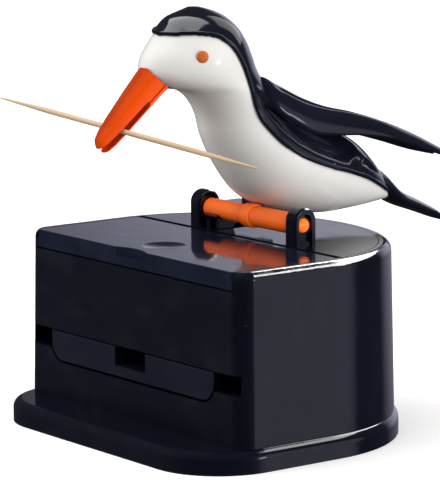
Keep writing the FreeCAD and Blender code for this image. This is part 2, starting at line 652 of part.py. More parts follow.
# Outlines round the perch axle, as (y, z) from its centre: the open cradle and the tongue behind it.
CRADLE_SIDE = [(-3.4, -4.0), (4.0, -4.0), (4.0, 2.2), (0.0, 0.0), (-3.4, -1.4)]
TONGUE_SIDE = [(2.0, -1.4), (7.0, -1.4), (7.0, 1.4), (2.0, 1.4)]
TONGUE_END = 5.0
SADDLE_X = (4.0, 8.0)      # block in the belly, from the lever's middle and the axle's centre
SADDLE_Y = (2.9, 8.2)
SADDLE_Z = (-1.4, 5.0)


def round_axle(points):
    return [(AXLE_Y + y, AXLE_Z + z) for y, z in points]


def drive_lever():
    """Two cheeks that hang from the perch, through the deck, and straddle the rocker."""
    start = MID - HALF_DIP
    py, pz = polar(AXLE_Y, AXLE_Z, LEVER_R, start)
    cheeks = []
    for x0 in (DRIVE_X - LEVER_HALF, DRIVE_X + LEVER_HALF - LEVER_CHEEK):
        x1 = x0 + LEVER_CHEEK
        strap = side_prism([(AXLE_Y - 1.9, AXLE_Z - 1.2), (AXLE_Y + 2.9, AXLE_Z - 1.2),
                            (AXLE_Y + 0.6, DECK_BOTTOM - 1.4), (py + 1.2, pz - 1.2),
                            (py - 1.2, pz + 1.2), (AXLE_Y - 2.0, DECK_BOTTOM - 0.6)], x0, x1)
        eye = rod_x(x0, x1, py, pz, LEVER_EYE_R)
        cheeks.append(strap.fuse(eye))
    cradle = tube_x(DRIVE_X - LEVER_HALF, DRIVE_X + LEVER_HALF, AXLE_Y, AXLE_Z, LEFT_BAR_R + CRADLE_T,
                    LEFT_BAR_R)
    cradle = cradle.common(side_prism(round_axle(CRADLE_SIDE), -FAR, 0))
    tongue = side_prism(round_axle(TONGUE_SIDE), DRIVE_X - LEVER_HALF, DRIVE_X + TONGUE_END)
    saddle = box(DRIVE_X + SADDLE_X[0], DRIVE_X + SADDLE_X[1], AXLE_Y + SADDLE_Y[0],
                 AXLE_Y + SADDLE_Y[1], AXLE_Z + SADDLE_Z[0], AXLE_Z + SADDLE_Z[1])
    bar = rod_x(-FAR, FAR, AXLE_Y, AXLE_Z, LEFT_BAR_R)
    pin = rod_x(-FAR, FAR, py, pz, DRIVE_PIN_R)
    lever = fuse(cheeks + [cradle, tongue, saddle])
    return cut_all(lever, [bar, pin, bird_form(0)])


def drive_pin():
    py, pz = polar(AXLE_Y, AXLE_Z, LEVER_R, MID - HALF_DIP)
    return rod_x(DRIVE_X - LEVER_HALF, DRIVE_X + LEVER_HALF, py, pz, DRIVE_PIN_R)


# ---------------------------------------------------------------- smooth shapes
def skin(rings):
    """Closed smooth solid through rings of points, capped flat at both ends."""
    surface = Part.BSplineSurface()
    surface.interpolate(rings)
    side = surface.toShape()
    caps = [Part.Face(Part.Wire([edge])) for edge in side.Edges if edge.isClosed()]
    shell = Part.makeShell([side] + caps)
    shell.sewShape()
    return Part.makeSolid(shell)


def ring(centre, half, wide, roundness=1.0):
    """Points of a closed oval; a roundness below one makes it boxier."""
    points = []
    for i in range(RING_POINTS + 1):
        turn = 2 * math.pi * i / RING_POINTS
        along, across = math.cos(turn), math.sin(turn)
        along = math.copysign(abs(along) ** roundness, along)
        across = math.copysign(abs(across) ** roundness, across)
        points.append(centre + half * along + wide * across)
    return points


# ---------------------------------------------------------------- bird body
RING_POINTS = 24
SHELL_T = 1.8
CAP_PROUD = 0.5            # the black back stands this far outside the white body
PERCH_ROOM = 0.35          # between the belly and the perch
EYE = (9.1, -26.0, 81.1)
EYE_R = 1.3
EYE_SUNK = 0.4             # centre of the eye's ball inside the cheek

# Sections of the body from crown to tail: front point, back point and half width.
SECTIONS = [
    ((-21.9, 89.9), (-20.6, 89.9), 0.6),
    ((-23.4, 89.3), (-18.6, 89.4), 2.0),
    ((-26.4, 88.0), (-15.8, 88.3), 4.8),
    ((-28.6, 85.8), (-12.9, 86.2), 7.3),
    ((-31.0, 82.8), (-10.5, 83.1), 9.0),
    ((-33.3, 79.3), (-8.8, 79.7), 9.8),
    ((-33.6, 76.3), (-7.6, 76.9), 9.8),
    ((-29.6, 73.7), (-6.3, 74.6), 9.3),
    ((-23.4, 72.2), (-5.0, 72.2), 8.9),
    ((-19.6, 67.8), (-3.0, 70.0), 8.8),
    ((-17.8, 62.1), (0.2, 67.6), 9.4),
    ((-13.8, 55.0), (5.0, 65.3), 10.8),
    ((-8.1, 48.5), (10.2, 63.2), 11.6),
    ((0.2, 45.0), (14.8, 60.9), 11.2),
    ((9.6, 43.6), (19.5, 58.1), 9.8),
    ((19.0, 43.8), (23.9, 54.2), 7.2),
    ((26.2, 44.4), (27.8, 49.8), 4.4),
    ((30.2, 44.8), (30.6, 47.0), 2.0),
    ((31.6, 45.0), (31.7, 45.9), 0.8),
]
# Sections of the tail blade from inside the rump to its tip.
TAIL_SECTIONS = [
    ((21.5, 47.6), (23.6, 54.2), 5.6),
    ((26.8, 46.2), (28.1, 50.9), 5.0),
    ((31.9, 43.3), (32.8, 46.7), 4.1),
    ((38.2, 41.0), (39.0, 43.6), 3.2),
    ((44.0, 38.9), (44.6, 40.7), 2.2),
    ((47.0, 38.0), (47.4, 38.8), 1.0),
]
# Lower edge of the black back, from the forehead over the nape to the tail.
COLOUR_LINE = [(-38.0, 84.0), (-30.6, 84.1), (-25.2, 84.5), (-20.3, 83.1), (-16.5, 79.3), (-14.0, 74.4),
               (-12.0, 68.2), (-8.5, 63.0), (-3.2, 58.6), (2.8, 55.7), (12.4, 52.8), (18.3, 50.8),
               (25.5, 47.7), (31.3, 45.2), (36.0, 41.9), (41.0, 39.2)]


def body_rings(sections, grow):
    """Rings through front, back and half width, larger or smaller by grow."""
    rings = []
    for (y0, z0), (y1, z1), width in sections:
        half = V(0, y1 - y0, z1 - z0) * 0.5
        if min(half.Length, width) + grow < 0.2:
            continue
        centre = V(0, (y0 + y1) / 2, (z0 + z1) / 2)
        rings.append(ring(centre, half * (1 + grow / half.Length), ALONG_X * (width + grow)))
    return rings


def bird_form(grow):
    return skin(body_rings(SECTIONS, grow))


def above_colour_line():
    """Everything above the lower edge of the black back."""
    curve = Part.BSplineCurve()
    curve.interpolate([V(-FAR, y, z) for y, z in COLOUR_LINE])
    (y0, z0), (y1, z1) = COLOUR_LINE[0], COLOUR_LINE[-1]
    back, top = y1 + FAR, z0 + FAR
    corners = [V(-FAR, y1, z1), V(-FAR, back, z1), V(-FAR, back, top), V(-FAR, y0, top), V(-FAR, y0, z0)]
    edges = [curve.toShape()] + [Part.makeLine(a, b) for a, b in zip(corners, corners[1:])]
    return Part.Face(Part.Wire(edges)).extrude(V(2 * FAR, 0, 0))


def back_shell():
    back = bird_form(CAP_PROUD).common(above_colour_line())
    tail = skin(body_rings(TAIL_SECTIONS, 0)).cut(bird_form(0))
    tail = max(tail.Solids, key=lambda solid: solid.Volume)
    return fuse([back, tail]).cut(bird_form(-SHELL_T))


# ---------------------------------------------------------------- wings
# Stations from shoulder to tip: y, upper edge (x, z), lower edge (x, z), half thickness, bow.
WING_STATIONS = [
    (-8.0, (4.4, 74.8), (8.6, 68.4), 0.9, 0.6),
    (-3.0, (3.7, 72.6), (9.4, 65.0), 1.0, 1.2),
    (3.0, (3.4, 69.5), (10.0, 62.2), 1.0, 1.5),
    (9.0, (3.3, 66.9), (10.1, 61.4), 0.9, 1.6),
    (16.0, (3.2, 64.9), (9.9, 60.8), 0.85, 1.5),
    (24.0, (3.2, 62.3), (9.3, 59.4), 0.8, 1.3),
    (33.1, (2.3, 59.0), (7.2, 56.8), 0.7, 1.0),
    (42.2, (1.6, 55.3), (4.8, 53.8), 0.55, 0.5),
    (46.6, (1.8, 53.5), (3.2, 52.7), 0.35, 0.1),
]


def right_wing():
    rings = []
    for y, (x0, z0), (x1, z1), thick, bow in WING_STATIONS:
        centre = V((x0 + x1) / 2, y, (z0 + z1) / 2)
        half = V(x1 - x0, 0, z1 - z0) * 0.5
        out = V(z0 - z1, 0, x1 - x0).normalize()
        points = []
        for point in ring(centre, half, out * thick):
            reach = (point - centre).dot(half) / half.Length ** 2
            points.append(point + out * bow * (1 - reach ** 2))
        rings.append(points)
    blade = skin(rings).cut(bird_form(CAP_PROUD))
    return max(blade.Solids, key=lambda solid: solid.Volume)


# ---------------------------------------------------------------- beak
# The beak has its own frame: s runs from root to tip, n stands square to it, upward.
BEAK_ROOT = (-32.6, 74.6)
BEAK_TIP = (-45.6, 63.0)
BEAK_GAP = 0.45            # between the head and the two jaws
JAW_PIVOT = (-3.2, -1.5)   # (s, n)
JAW_EYE_R = 1.5
JAW_EYE_X = (0.2, 2.4)     # each jaw's eye on its side of the middle
JAW_PIN_END = 4.1
LUG_X = (2.9, JAW_PIN_END) # lugs inside the head that hold the pin
JAW_PIN_R = 0.6
# Stations from inside the head to the tip: s, top, bottom, half width.
BEAK_STATIONS = [
    (-5.0, 4.0, -3.6, 4.6),
    (0.0, 3.4, -3.0, 4.2),
    (4.5, 3.0, -2.9, 3.7),
    (9.0, 2.5, -2.8, 3.15),
    (13.0, 2.05, -2.75, 2.6),
    (15.8, 1.6, -2.6, 2.0),
    (17.4, 0.9, -2.2, 1.3),
    (18.0, 0.1, -1.6, 0.6),
]
BEAK_ROUNDNESS = 0.8
SLOT_START = 3.9
SLOT_HIGH = -0.46
SLOT_LOW = -2.0
SLOT_RAMP = 0.5
SPLIT_HIGH = -0.9          # split between the jaws behind the slot
SPLIT_LOW = -1.25
# Outlines as (s, n): a tongue inside each jaw up to its eye, the lugs, and the window in the face.
UPPER_TONGUE = [(1.6, 1.2), (1.6, SPLIT_HIGH), (-1.3, SPLIT_HIGH), (-3.2, -2.9), (-3.2, -0.1)]
LOWER_TONGUE = [(1.6, SPLIT_LOW), (1.6, -2.7), (-3.2, -2.9), (-3.2, -0.1), (-1.3, SPLIT_LOW)]
LUG_SIDE = [(1.5, 0.6), (1.5, -3.3), (-3.2, -3.3), (-5.0, -1.5), (-3.2, 0.5)]
WINDOW_SIDE = [(4.0, 2.0), (4.0, -3.6), (-3.4, -3.6), (-3.4, 1.2)]
WINDOW_HALF = 2.75


def beak_point(x, s, n):
    """Point in space from the beak's own frame."""
    (y0, z0), (y1, z1) = BEAK_ROOT, BEAK_TIP
    length = math.hypot(y1 - y0, z1 - z0)
    gy, gz = (y1 - y0) / length, (z1 - z0) / length
    return V(x, y0 + s * gy + n * gz, z0 + s * gz - n * gy)


def beak_prism(points, x0, x1):
    """Prism along X from a closed polygon of (s, n) points."""
    places = [beak_point(0, s, n) for s, n in points]
    return side_prism([(place.y, place.z) for place in places], x0, x1)


def jaw_rod(x0, x1, radius):
    place = beak_point(0, *JAW_PIVOT)
    return rod_x(x0, x1, place.y, place.z, radius)


def beak_form():
    rings = []
    for s, top, bottom, width in BEAK_STATIONS:
        half = beak_point(0, s, top) - beak_point(0, s, bottom)
        centre = beak_point(0, s, (top + bottom) / 2)
        rings.append(ring(centre, half * 0.5, ALONG_X * width, BEAK_ROUNDNESS))
    return skin(rings).cut(bird_form(BEAK_GAP))


def jaw_room(split, slot, end):
    """Everything on one side of the split and the slot, as far as end across the beak."""
    outline = [(-FAR, split), (SLOT_START, split), (SLOT_START + SLOT_RAMP, slot), (FAR, slot),
               (FAR, end), (-FAR, end)]
    return beak_prism(outline, -FAR, FAR)


def upper_jaw():
    jaw = beak_form().cut(jaw_room(SPLIT_HIGH, SLOT_HIGH, -FAR))
    near, far = JAW_EYE_X
    tongue = beak_prism(UPPER_TONGUE, -far, -near)
    jaw = fuse([jaw, tongue, jaw_rod(-far, -near, JAW_EYE_R)], refine=False)
    jaw = jaw.cut(jaw_rod(-FAR, FAR, JAW_PIN_R + RUNNING))
    return cut_all(jaw, pick_sweep())


def lower_jaw():
    jaw = beak_form().cut(jaw_room(SPLIT_LOW, SLOT_LOW, FAR))
    near, far = JAW_EYE_X
    tongue = beak_prism(LOWER_TONGUE, near, far)
    jaw = fuse([jaw, tongue, jaw_rod(near, far, JAW_EYE_R)], refine=False)
    return jaw.cut(jaw_rod(-FAR, FAR, JAW_PIN_R + RUNNING))


def jaw_pin():
    return jaw_rod(-JAW_PIN_END, JAW_PIN_END, JAW_PIN_R)


def belly_shell():
    body = bird_form(0)
    belly = body.cut(above_colour_line()).cut(bird_form(-SHELL_T))
    lug = beak_prism(LUG_SIDE, *LUG_X).common(bird_form(-SHELL_T / 2))
    window = beak_prism(WINDOW_SIDE, -WINDOW_HALF, WINDOW_HALF)
    belly = fuse([belly] + pair(lug)).cut(window)
    perch_room = rod_x(-FAR, FAR, AXLE_Y, AXLE_Z, COLLAR_R + PERCH_ROOM)
    return cut_all(belly, [jaw_pin(), perch_room])


def right_eye():
    return Part.makeSphere(EYE_R, V(EYE[0] - EYE_SUNK, EYE[1], EYE[2])).cut(bird_form(0))


# ---------------------------------------------------------------- picks
HELD_POINT = (2.2, -40.815, 65.624)      # of the held pick, where it leaves the right of the beak
HELD_DIRECTION = (0.930, 0.332, -0.159)
HELD_BACK = 32.0                         # left end of the held pick from that point
PICK_END_R = 0.15
STOCK_ROW = [13, 12]                     # picks in the lower and the upper layer
STOCK_PITCH = 1.55
STOCK_START = 0.9                        # first pick from the lower edge of the slope
STOCK_LIFT = 0.06                        # of the lower layer over the slope
SWEEP_STEPS = 4                          # the held pick's swing is cleared in this many steps
SWEEP_LENGTH = 20.0
SWEEP_BACK = 12.0
SWEEP_PLAY = 0.12


def pick(start, direction):
    """Round pick with two tapered ends."""
    axis = direction.normalize()
    low = Part.makeCone(PICK_END_R, PICK_R, PICK_TAPER, start, axis)
    shank = Part.makeCylinder(PICK_R, PICK_LENGTH - 2 * PICK_TAPER, start + axis * PICK_TAPER, axis)
    high = Part.makeCone(PICK_R, PICK_END_R, PICK_TAPER, start + axis * (PICK_LENGTH - PICK_TAPER), axis)
    return fuse([low, shank, high])


def held_pick():
    axis = V(*HELD_DIRECTION).normalize()
    return pick(V(*HELD_POINT) - axis * HELD_BACK, axis)


def pick_sweep():
    """Room for the held pick while it swivels level with the beak."""
    axis = V(*HELD_DIRECTION).normalize()
    turn_axis = ALONG_X.cross(axis)
    swing = math.degrees(ALONG_X.getAngle(axis))
    rods = []
    for i in range(SWEEP_STEPS + 1):
        start = V(*HELD_POINT) - axis * SWEEP_BACK
        rod = Part.makeCylinder(PICK_R + SWEEP_PLAY, SWEEP_LENGTH, start, axis)
        rod.rotate(V(*HELD_POINT), turn_axis, -swing * i / SWEEP_STEPS)
        rods.append(rod)
    return rods


def toothpick_stock():
    y0, z0 = CHUTE_FRONT
    y1, z1 = CHUTE_KNEE
    slope = math.atan2(z1 - z0, y1 - y0)
    picks = []
    for layer, count in enumerate(STOCK_ROW):
        height = PICK_R + STOCK_LIFT + layer * STOCK_PITCH * math.sin(math.pi / 3)
        for i in range(count):
            along = STOCK_START + (i + layer / 2) * STOCK_PITCH
            y = y0 + along * math.cos(slope) - height * math.sin(slope)
            z = z0 + along * math.sin(slope) + height * math.cos(slope)
            picks.append(pick(V(-PICK_LENGTH / 2, y, z), ALONG_X))
    return Part.makeCompound(picks)


def parts():
    """Every named part of the dispenser."""
    return {
        "body_shell": fuse([body_shell()] + deck_tabs()),
        "base_plate": base_plate(),
        "anti_slip_pads": anti_slip_pads(),
        "base_screws": base_screws(),
        "rear_deck": rear_deck(),
        "deck_screws": deck_screws(),
        "left_bracket": bracket(-1),
        "right_bracket": bracket(1),
        "bracket_screws": bracket_screws(),
        "lid": lid(),
        "lid_hinge_pins": lid_hinge_pins(),
        "pick_chute": pick_chute(),
        "feed_drawer": feed_drawer(),
        "rocker": rocker(),
        "rocker_shaft": rocker_shaft(),
        "yoke_pin": yoke_pin(),
        "return_spring": return_spring(),
        "perch_axle": perch_axle(),
        "perch_collar": perch_collar(),
        "perch_sleeve": perch_sleeve(),
        "drive_lever": drive_lever(),
        "drive_pin": drive_pin(),
        "belly_shell": belly_shell(),
        "back_shell": back_shell(),
        "right_wing": right_wing(),
        "left_wing": mirror_x(right_wing()),
        "right_eye": right_eye(),
        "left_eye": mirror_x(right_eye()),
        "jaw_pin": jaw_pin(),
        "upper_jaw": upper_jaw(),
        "lower_jaw": lower_jaw(),
        "held_pick": held_pick(),
        "toothpick_stock": toothpick_stock(),
    }


if __name__ == "__main__":
    os.makedirs("parts", exist_ok=True)
    for name, shape in parts().items():
        save(name, shape)
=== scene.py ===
"""A bird that dips over a D-shaped box and lifts one toothpick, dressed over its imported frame.

Sizes in the classes are millimetres, as a mould maker writes them: +X is the bird's left-right
axis, -Y is the front and +Z is up, with the origin under the middle of the base.
"""

import logging
import math
from collections.abc import Callable, Sequence
from dataclasses import dataclass
from enum import Enum
from typing import Any

import bmesh
import bpy
from mathutils import Matrix, Vector

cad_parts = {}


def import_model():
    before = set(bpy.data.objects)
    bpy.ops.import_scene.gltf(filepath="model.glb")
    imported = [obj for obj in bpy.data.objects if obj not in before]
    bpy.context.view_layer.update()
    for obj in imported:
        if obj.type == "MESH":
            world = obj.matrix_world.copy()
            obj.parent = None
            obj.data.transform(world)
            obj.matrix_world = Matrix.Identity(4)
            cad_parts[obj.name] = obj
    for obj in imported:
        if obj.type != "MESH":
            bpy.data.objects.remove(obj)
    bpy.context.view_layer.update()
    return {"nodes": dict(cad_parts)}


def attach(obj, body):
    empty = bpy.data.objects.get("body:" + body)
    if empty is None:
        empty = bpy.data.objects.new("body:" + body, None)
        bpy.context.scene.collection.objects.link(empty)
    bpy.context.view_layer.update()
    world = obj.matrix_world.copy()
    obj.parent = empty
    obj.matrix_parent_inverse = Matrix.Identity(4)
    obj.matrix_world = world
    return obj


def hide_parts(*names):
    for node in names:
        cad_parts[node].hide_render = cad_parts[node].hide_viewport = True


MM = 0.001
LOG = logging.getLogger("dispenser")
GRAIN = "grain"                # attribute that holds each pick's own coordinates
Pair = tuple[float, float]
Triple = tuple[float, float, float]
Section = tuple[Pair, Pair, float]     # front and back in the middle plane, and half width


class Body(Enum):
    """Moving bodies of the frame."""

    HOUSING = "housing"
    BIRD = "bird"
    SLEEVE = "sleeve"
    LID = "top_lid"
    DRAWER = "drawer"
    ROCKER = "rocker_arm"
    UPPER_BEAK = "upper_beak"
    LOWER_BEAK = "lower_beak"
    PICK = "carried_pick"


class Slot(Enum):
    """Material slots of the frame and of the pieces laid over it."""

    BOX = "box"
    LID = "lid"
    DRAWER = "drawer"
    INNER = "inner"
    PERCH = "perch"
    BIRD_WHITE = "bird_white"
    BIRD_BLACK = "bird_black"
    BEAK = "beak"
    MOUTH = "mouth"
    EYE = "eye"
    PICK = "pick"
    STEEL = "steel"
    PAD = "pad"


class Cut(Enum):
    """Ways in which one closed form works on another."""

    TAKE = "DIFFERENCE"
    KEEP = "INTERSECT"
    JOIN = "UNION"


# ------------------------------------------------------------------ shader maths
class Wire:
    """A shader value or vector that takes part in sums and products."""

    def __init__(self, tree: "Tree", socket: bpy.types.NodeSocket) -> None:
        """Hold one output socket of a tree."""
        self.tree = tree
        self.socket = socket

    def _maths(self, kind: str, first: Any, second: Any) -> "Wire":
        """Add a Math node on two values or wires."""
        node = self.tree.node("ShaderNodeMath", {"operation": kind}, {0: first, 1: second})
        return self.tree.wire(node)

    def __add__(self, other: Any) -> "Wire":
        """Sum."""
        return self._maths("ADD", self, other)

    def __radd__(self, other: Any) -> "Wire":
        """Sum from the right."""
        return self._maths("ADD", other, self)

    def __sub__(self, other: Any) -> "Wire":
        """Difference."""
        return self._maths("SUBTRACT", self, other)

    def __rsub__(self, other: Any) -> "Wire":
        """Difference from the right."""
        return self._maths("SUBTRACT", other, self)

    def __mul__(self, other: Any) -> "Wire":
        """Product."""
        return self._maths("MULTIPLY", self, other)

    def __rmul__(self, other: Any) -> "Wire":
        """Product from the right."""
        return self._maths("MULTIPLY", other, self)

    def __pow__(self, other: Any) -> "Wire":
        """Power."""
        return self._maths("POWER", self, other)

    def clamped(self) -> "Wire":
        """The value held between 0 and 1."""
        return self.tree.wire(self.tree.node("ShaderNodeClamp", None, {"Value": self}))

    def band(self, low: float, high: float, to_low: float = 0.0,
             to_high: float = 1.0) -> "Wire":
        """Map low..high smoothly to to_low..to_high.

        Args:
            low: value that gives to_low.
            high: value that gives to_high.
            to_low: result at low.
            to_high: result at high.

        Returns:
            The mapped wire.
        """
        node = self.tree.node("ShaderNodeMapRange", {"interpolation_type": "SMOOTHSTEP"},
                              {"Value": self, "From Min": low, "From Max": high,
                               "To Min": to_low, "To Max": to_high})
        return self.tree.wire(node)


class Tree:
    """The node tree of a material or of the world."""

    def __init__(self, tree: bpy.types.NodeTree) -> None:
        """Start from a tree, emptied.

        Args:
            tree: the tree.
        """
        self.tree = tree
        self.tree.nodes.clear()

    def node(self, kind: str, settings: dict[str, Any] | None = None,
             sockets: dict[str | int, Any] | None = None) -> bpy.types.Node:
        """Add a node.

        Args:
            kind: the node's type.
            settings: its properties, which are set first.
            sockets: values or wires of its inputs, by name or number.

        Returns:
            The new node.
        """
        node = self.tree.nodes.new(kind)
        for key, value in (settings or {}).items():
            setattr(node, key, value)
        for key, value in (sockets or {}).items():
            if isinstance(value, Wire):
                self.tree.links.new(value.socket, node.inputs[key])
            else:
                node.inputs[key].default_value = value
        return node

    def wire(self, node: bpy.types.Node, output: str | int = 0) -> Wire:
        """One output of a node."""
        return Wire(self, node.outputs[output])


class Shader(Tree):
    """One material's node tree."""

    def __init__(self, name: str) -> None:
        """Start a material.

        Args:
            name: the material's name.
        """
        self.material = bpy.data.materials.new(name)
        self.material.use_nodes = True
        super().__init__(self.material.node_tree)

    def place(self, scale: Triple = (1.0, 1.0, 1.0),
              turn: Triple = (0.0, 0.0, 0.0)) -> Wire:
        """Object coordinates in metres, scaled and turned.

        Args:
            scale: stretch along each axis.
            turn: rotation in radians.

        Returns:
            A vector wire.
        """
        here = self.wire(self.node("ShaderNodeTexCoord"), "Object")
        if scale == (1.0, 1.0, 1.0) and turn == (0.0, 0.0, 0.0):
            return here
        return self.wire(self.node("ShaderNodeMapping", None,
                                   {"Vector": here, "Scale": scale, "Rotation": turn}))

    def noise(self, where: Wire, size_mm: float, detail: float = 2.0,
              rough: float = 0.5) -> Wire:
        """Cloudy noise.

        Args:
            where: the coordinates it is laid on.
            size_mm: width of its largest patches.
            detail: octaves.
            rough: strength of the finer octaves.

        Returns:
            A wire from 0 to 1.
        """
        return self.wire(self.node("ShaderNodeTexNoise", None,
                                   {"Vector": where, "Scale": 1.0 / (size_mm * MM),
                                    "Detail": detail, "Roughness": rough}))

    def blend(self, factor: Any, first: Any, second: Any) -> Wire:
        """Mix two colours.

        Args:
            factor: share of the second colour.
            first: a colour or a wire.
            second: a colour or a wire.

        Returns:
            A colour wire.
        """
        first = (*first, 1.0) if isinstance(first, tuple) else first
        second = (*second, 1.0) if isinstance(second, tuple) else second
        node = self.node("ShaderNodeMix", {"data_type": "RGBA"},
                         {0: factor, 6: first, 7: second})
        return self.wire(node, 2)

    def bump(self, height: Wire, depth_mm: float, under: Wire | None = None) -> Wire:
        """Relief of a given depth.

        Args:
            height: the relief, from 0 to 1.
            depth_mm: its full depth.
            under: another relief that this one lies on.

        Returns:
            A normal wire.
        """
        sockets: dict[str | int, Any] = {"Height": height, "Distance": depth_mm * MM,
                                         "Strength": 1.0}
        if under is not None:
            sockets["Normal"] = under
        return self.wire(self.node("ShaderNodeBump", None, sockets), "Normal")

    def finish(self, sockets: dict[str | int, Any]) -> bpy.types.Material:
        """Close the tree with a principled surface.

        Args:
            sockets: values and wires of the surface.

        Returns:
            The material.
        """
        surface = self.node("ShaderNodeBsdfPrincipled", None, sockets)
        self.node("ShaderNodeOutputMaterial", None, {"Surface": self.wire(surface)})
        return self.material


# ------------------------------------------------------------------ finishes
# Unless a comment says otherwise, _mm is the width of a pattern's patches. _band gives the values
# between which the pattern fades in.
@dataclass(frozen=True)
class GlossPlastic:
    """Injection-moulded plastic with a polished skin, faint flow marks, smudges and dust."""

    name: str
    colour: Triple
    deep: Triple               # colour of its slightly darker patches
    roughness: float = 0.09
    smudge: float = 0.10       # roughness that handling adds
    ripple_mm: float = 0.006   # depth of the polished skin's waviness
    coat: float = 0.25
    coat_roughness: float = 0.04
    ior: float = 1.5
    shine: float = 0.5         # strength of the reflections under the coat
    dust: float = 0.12
    dust_colour: Triple = (0.55, 0.54, 0.52)
    dust_tint: float = 0.25
    dust_roughness: float = 0.3
    flow_mm: float = 14.0      # width of the flow marks
    flow_band: Pair = (0.3, 0.7)
    wipe_stretch: Triple = (1.0, 2.4, 1.6)
    wipe_turn: Triple = (0.5, 0.2, 0.9)
    smear_mm: float = 9.0
    smear_band: Pair = (0.45, 0.75)
    speck_mm: float = 0.55     # width of a dust speck
    speck_band: Pair = (0.72, 0.80)
    patch_mm: float = 22.0     # width of the places where dust gathers
    patch_band: Pair = (0.45, 0.7)
    wave_mm: float = 5.5
    wave_share: float = 4.0    # depth of the broad waves, in ripples
    peel_mm: float = 0.9       # width of the fine orange peel
    peel_share: float = 0.25

    def material(self) -> bpy.types.Material:
        """Build the material.

        Returns:
            The material.
        """
        shader = Shader(self.name)
        here = shader.place()
        wiped = shader.place(scale=self.wipe_stretch, turn=self.wipe_turn)
        flow = shader.noise(here, self.flow_mm, detail=2.0, rough=0.55)
        smears = shader.noise(wiped, self.smear_mm, detail=3.0, rough=0.6)
        specks = shader.noise(here, self.speck_mm, detail=1.0, rough=0.4)
        patches = shader.noise(here, self.patch_mm, detail=1.0)
        dusty = specks.band(*self.speck_band) * patches.band(*self.patch_band) * self.dust
        base = shader.blend(flow.band(*self.flow_band), self.colour, self.deep)
        base = shader.blend(dusty * self.dust_tint, base, self.dust_colour)
        rough = (smears.band(*self.smear_band, self.roughness, self.roughness + self.smudge)
                 + dusty * self.dust_roughness)
        waves = shader.noise(here, self.wave_mm, detail=1.0)
        peel = shader.noise(here, self.peel_mm, detail=2.0)
        skin = shader.bump(waves, self.ripple_mm * self.wave_share)
        skin = shader.bump(peel, self.ripple_mm * self.peel_share, skin)
        return shader.finish({"Base Color": base, "Roughness": rough, "Normal": skin,
                              "IOR": self.ior, "Specular IOR Level": self.shine,
                              "Coat Weight": self.coat,
                              "Coat Roughness": self.coat_roughness})


@dataclass(frozen=True)
class SatinPlastic:
    """Moulded plastic with a fine spark-eroded grain, for parts out of sight."""

    name: str
    colour: Triple
    deep: Triple
    roughness: float = 0.42
    roughness_spread: Pair = (-0.06, 0.08)
    grain_mm: float = 0.012    # depth of the grain
    spark_mm: float = 0.35     # and its width
    cloud_mm: float = 11.0
    cloud_band: Pair = (0.35, 0.65)
    sheen_band: Pair = (0.3, 0.7)
    ior: float = 1.49

    def material(self) -> bpy.types.Material:
        """Build the material.

        Returns:
            The material.
        """
        shader = Shader(self.name)
        here = shader.place()
        clouds = shader.noise(here, self.cloud_mm, detail=3.0)
        grain = shader.noise(here, self.spark_mm, detail=3.0, rough=0.7)
        base = shader.blend(clouds.band(*self.cloud_band), self.colour, self.deep)
        less, more = self.roughness_spread
        rough = clouds.band(*self.sheen_band, self.roughness + less, self.roughness + more)
        return shader.finish({"Base Color": base, "Roughness": rough, "IOR": self.ior,
                              "Normal": shader.bump(grain, self.grain_mm)})


@dataclass(frozen=True)
class DrawnSteel:
    """Bright drawn or turned steel with fine lines along X and a few duller stains."""

    name: str
    colour: Triple = (0.62, 0.62, 0.60)
    stained: Triple = (0.42, 0.41, 0.39)
    roughness: float = 0.22
    roughness_spread: Pair = (-0.08, 0.12)
    draw: Triple = (0.05, 1.0, 1.0)    # drawn out along X
    line_mm: float = 0.004     # depth of a line
    line_width_mm: float = 0.18
    line_band: Pair = (0.2, 0.8)
    stain_roughness: float = 0.1
    stain_mm: float = 3.5
    stain_band: Pair = (0.5, 0.8)

    def material(self) -> bpy.types.Material:
        """Build the material.

        Returns:
            The material.
        """
        shader = Shader(self.name)
        lines = shader.noise(shader.place(scale=self.draw), self.line_width_mm, detail=3.0,
                             rough=0.65)
        stains = shader.noise(shader.place(), self.stain_mm, detail=3.0).band(*self.stain_band)
        base = shader.blend(stains, self.colour, self.stained)
        less, more = self.roughness_spread
        rough = (lines.band(*self.line_band, self.roughness + less, self.roughness + more)
                 + stains * self.stain_roughness)
        return shader.finish({"Base Color": base, "Roughness": rough, "Metallic": 1.0,
                              "Normal": shader.bump(lines, self.line_mm)})


@dataclass(frozen=True)
class SoftRubber:
    """Dull moulded rubber with a pebbled skin and a little lint."""

    name: str
    colour: Triple = (0.018, 0.018, 0.019)
    roughness: Pair = (0.62, 0.85)
    lint_colour: Triple = (0.16, 0.155, 0.15)
    lint: float = 0.35
    lint_mm: float = 0.5       # width of a fibre
    lint_band: Pair = (0.66, 0.74)
    comb_stretch: Triple = (1.0, 0.25, 1.0)
    comb_turn: Triple = (0.0, 0.0, 0.6)
    pebble_mm: float = 0.03    # depth of the pebbles
    pebble_width_mm: float = 0.6
    pebble_band: Pair = (0.2, 0.8)

    def material(self) -> bpy.types.Material:
        """Build the material.

        Returns:
            The material.
        """
        shader = Shader(self.name)
        combed = shader.place(scale=self.comb_stretch, turn=self.comb_turn)
        pebbles = shader.noise(shader.place(), self.pebble_width_mm, detail=2.0, rough=0.6)
        fibres = shader.noise(combed, self.lint_mm, detail=2.0).band(*self.lint_band)
        base = shader.blend(fibres * self.lint, self.colour, self.lint_colour)
        return shader.finish({"Base Color": base,
                              "Roughness": pebbles.band(*self.pebble_band, *self.roughness),
                              "Normal": shader.bump(pebbles, self.pebble_mm)})


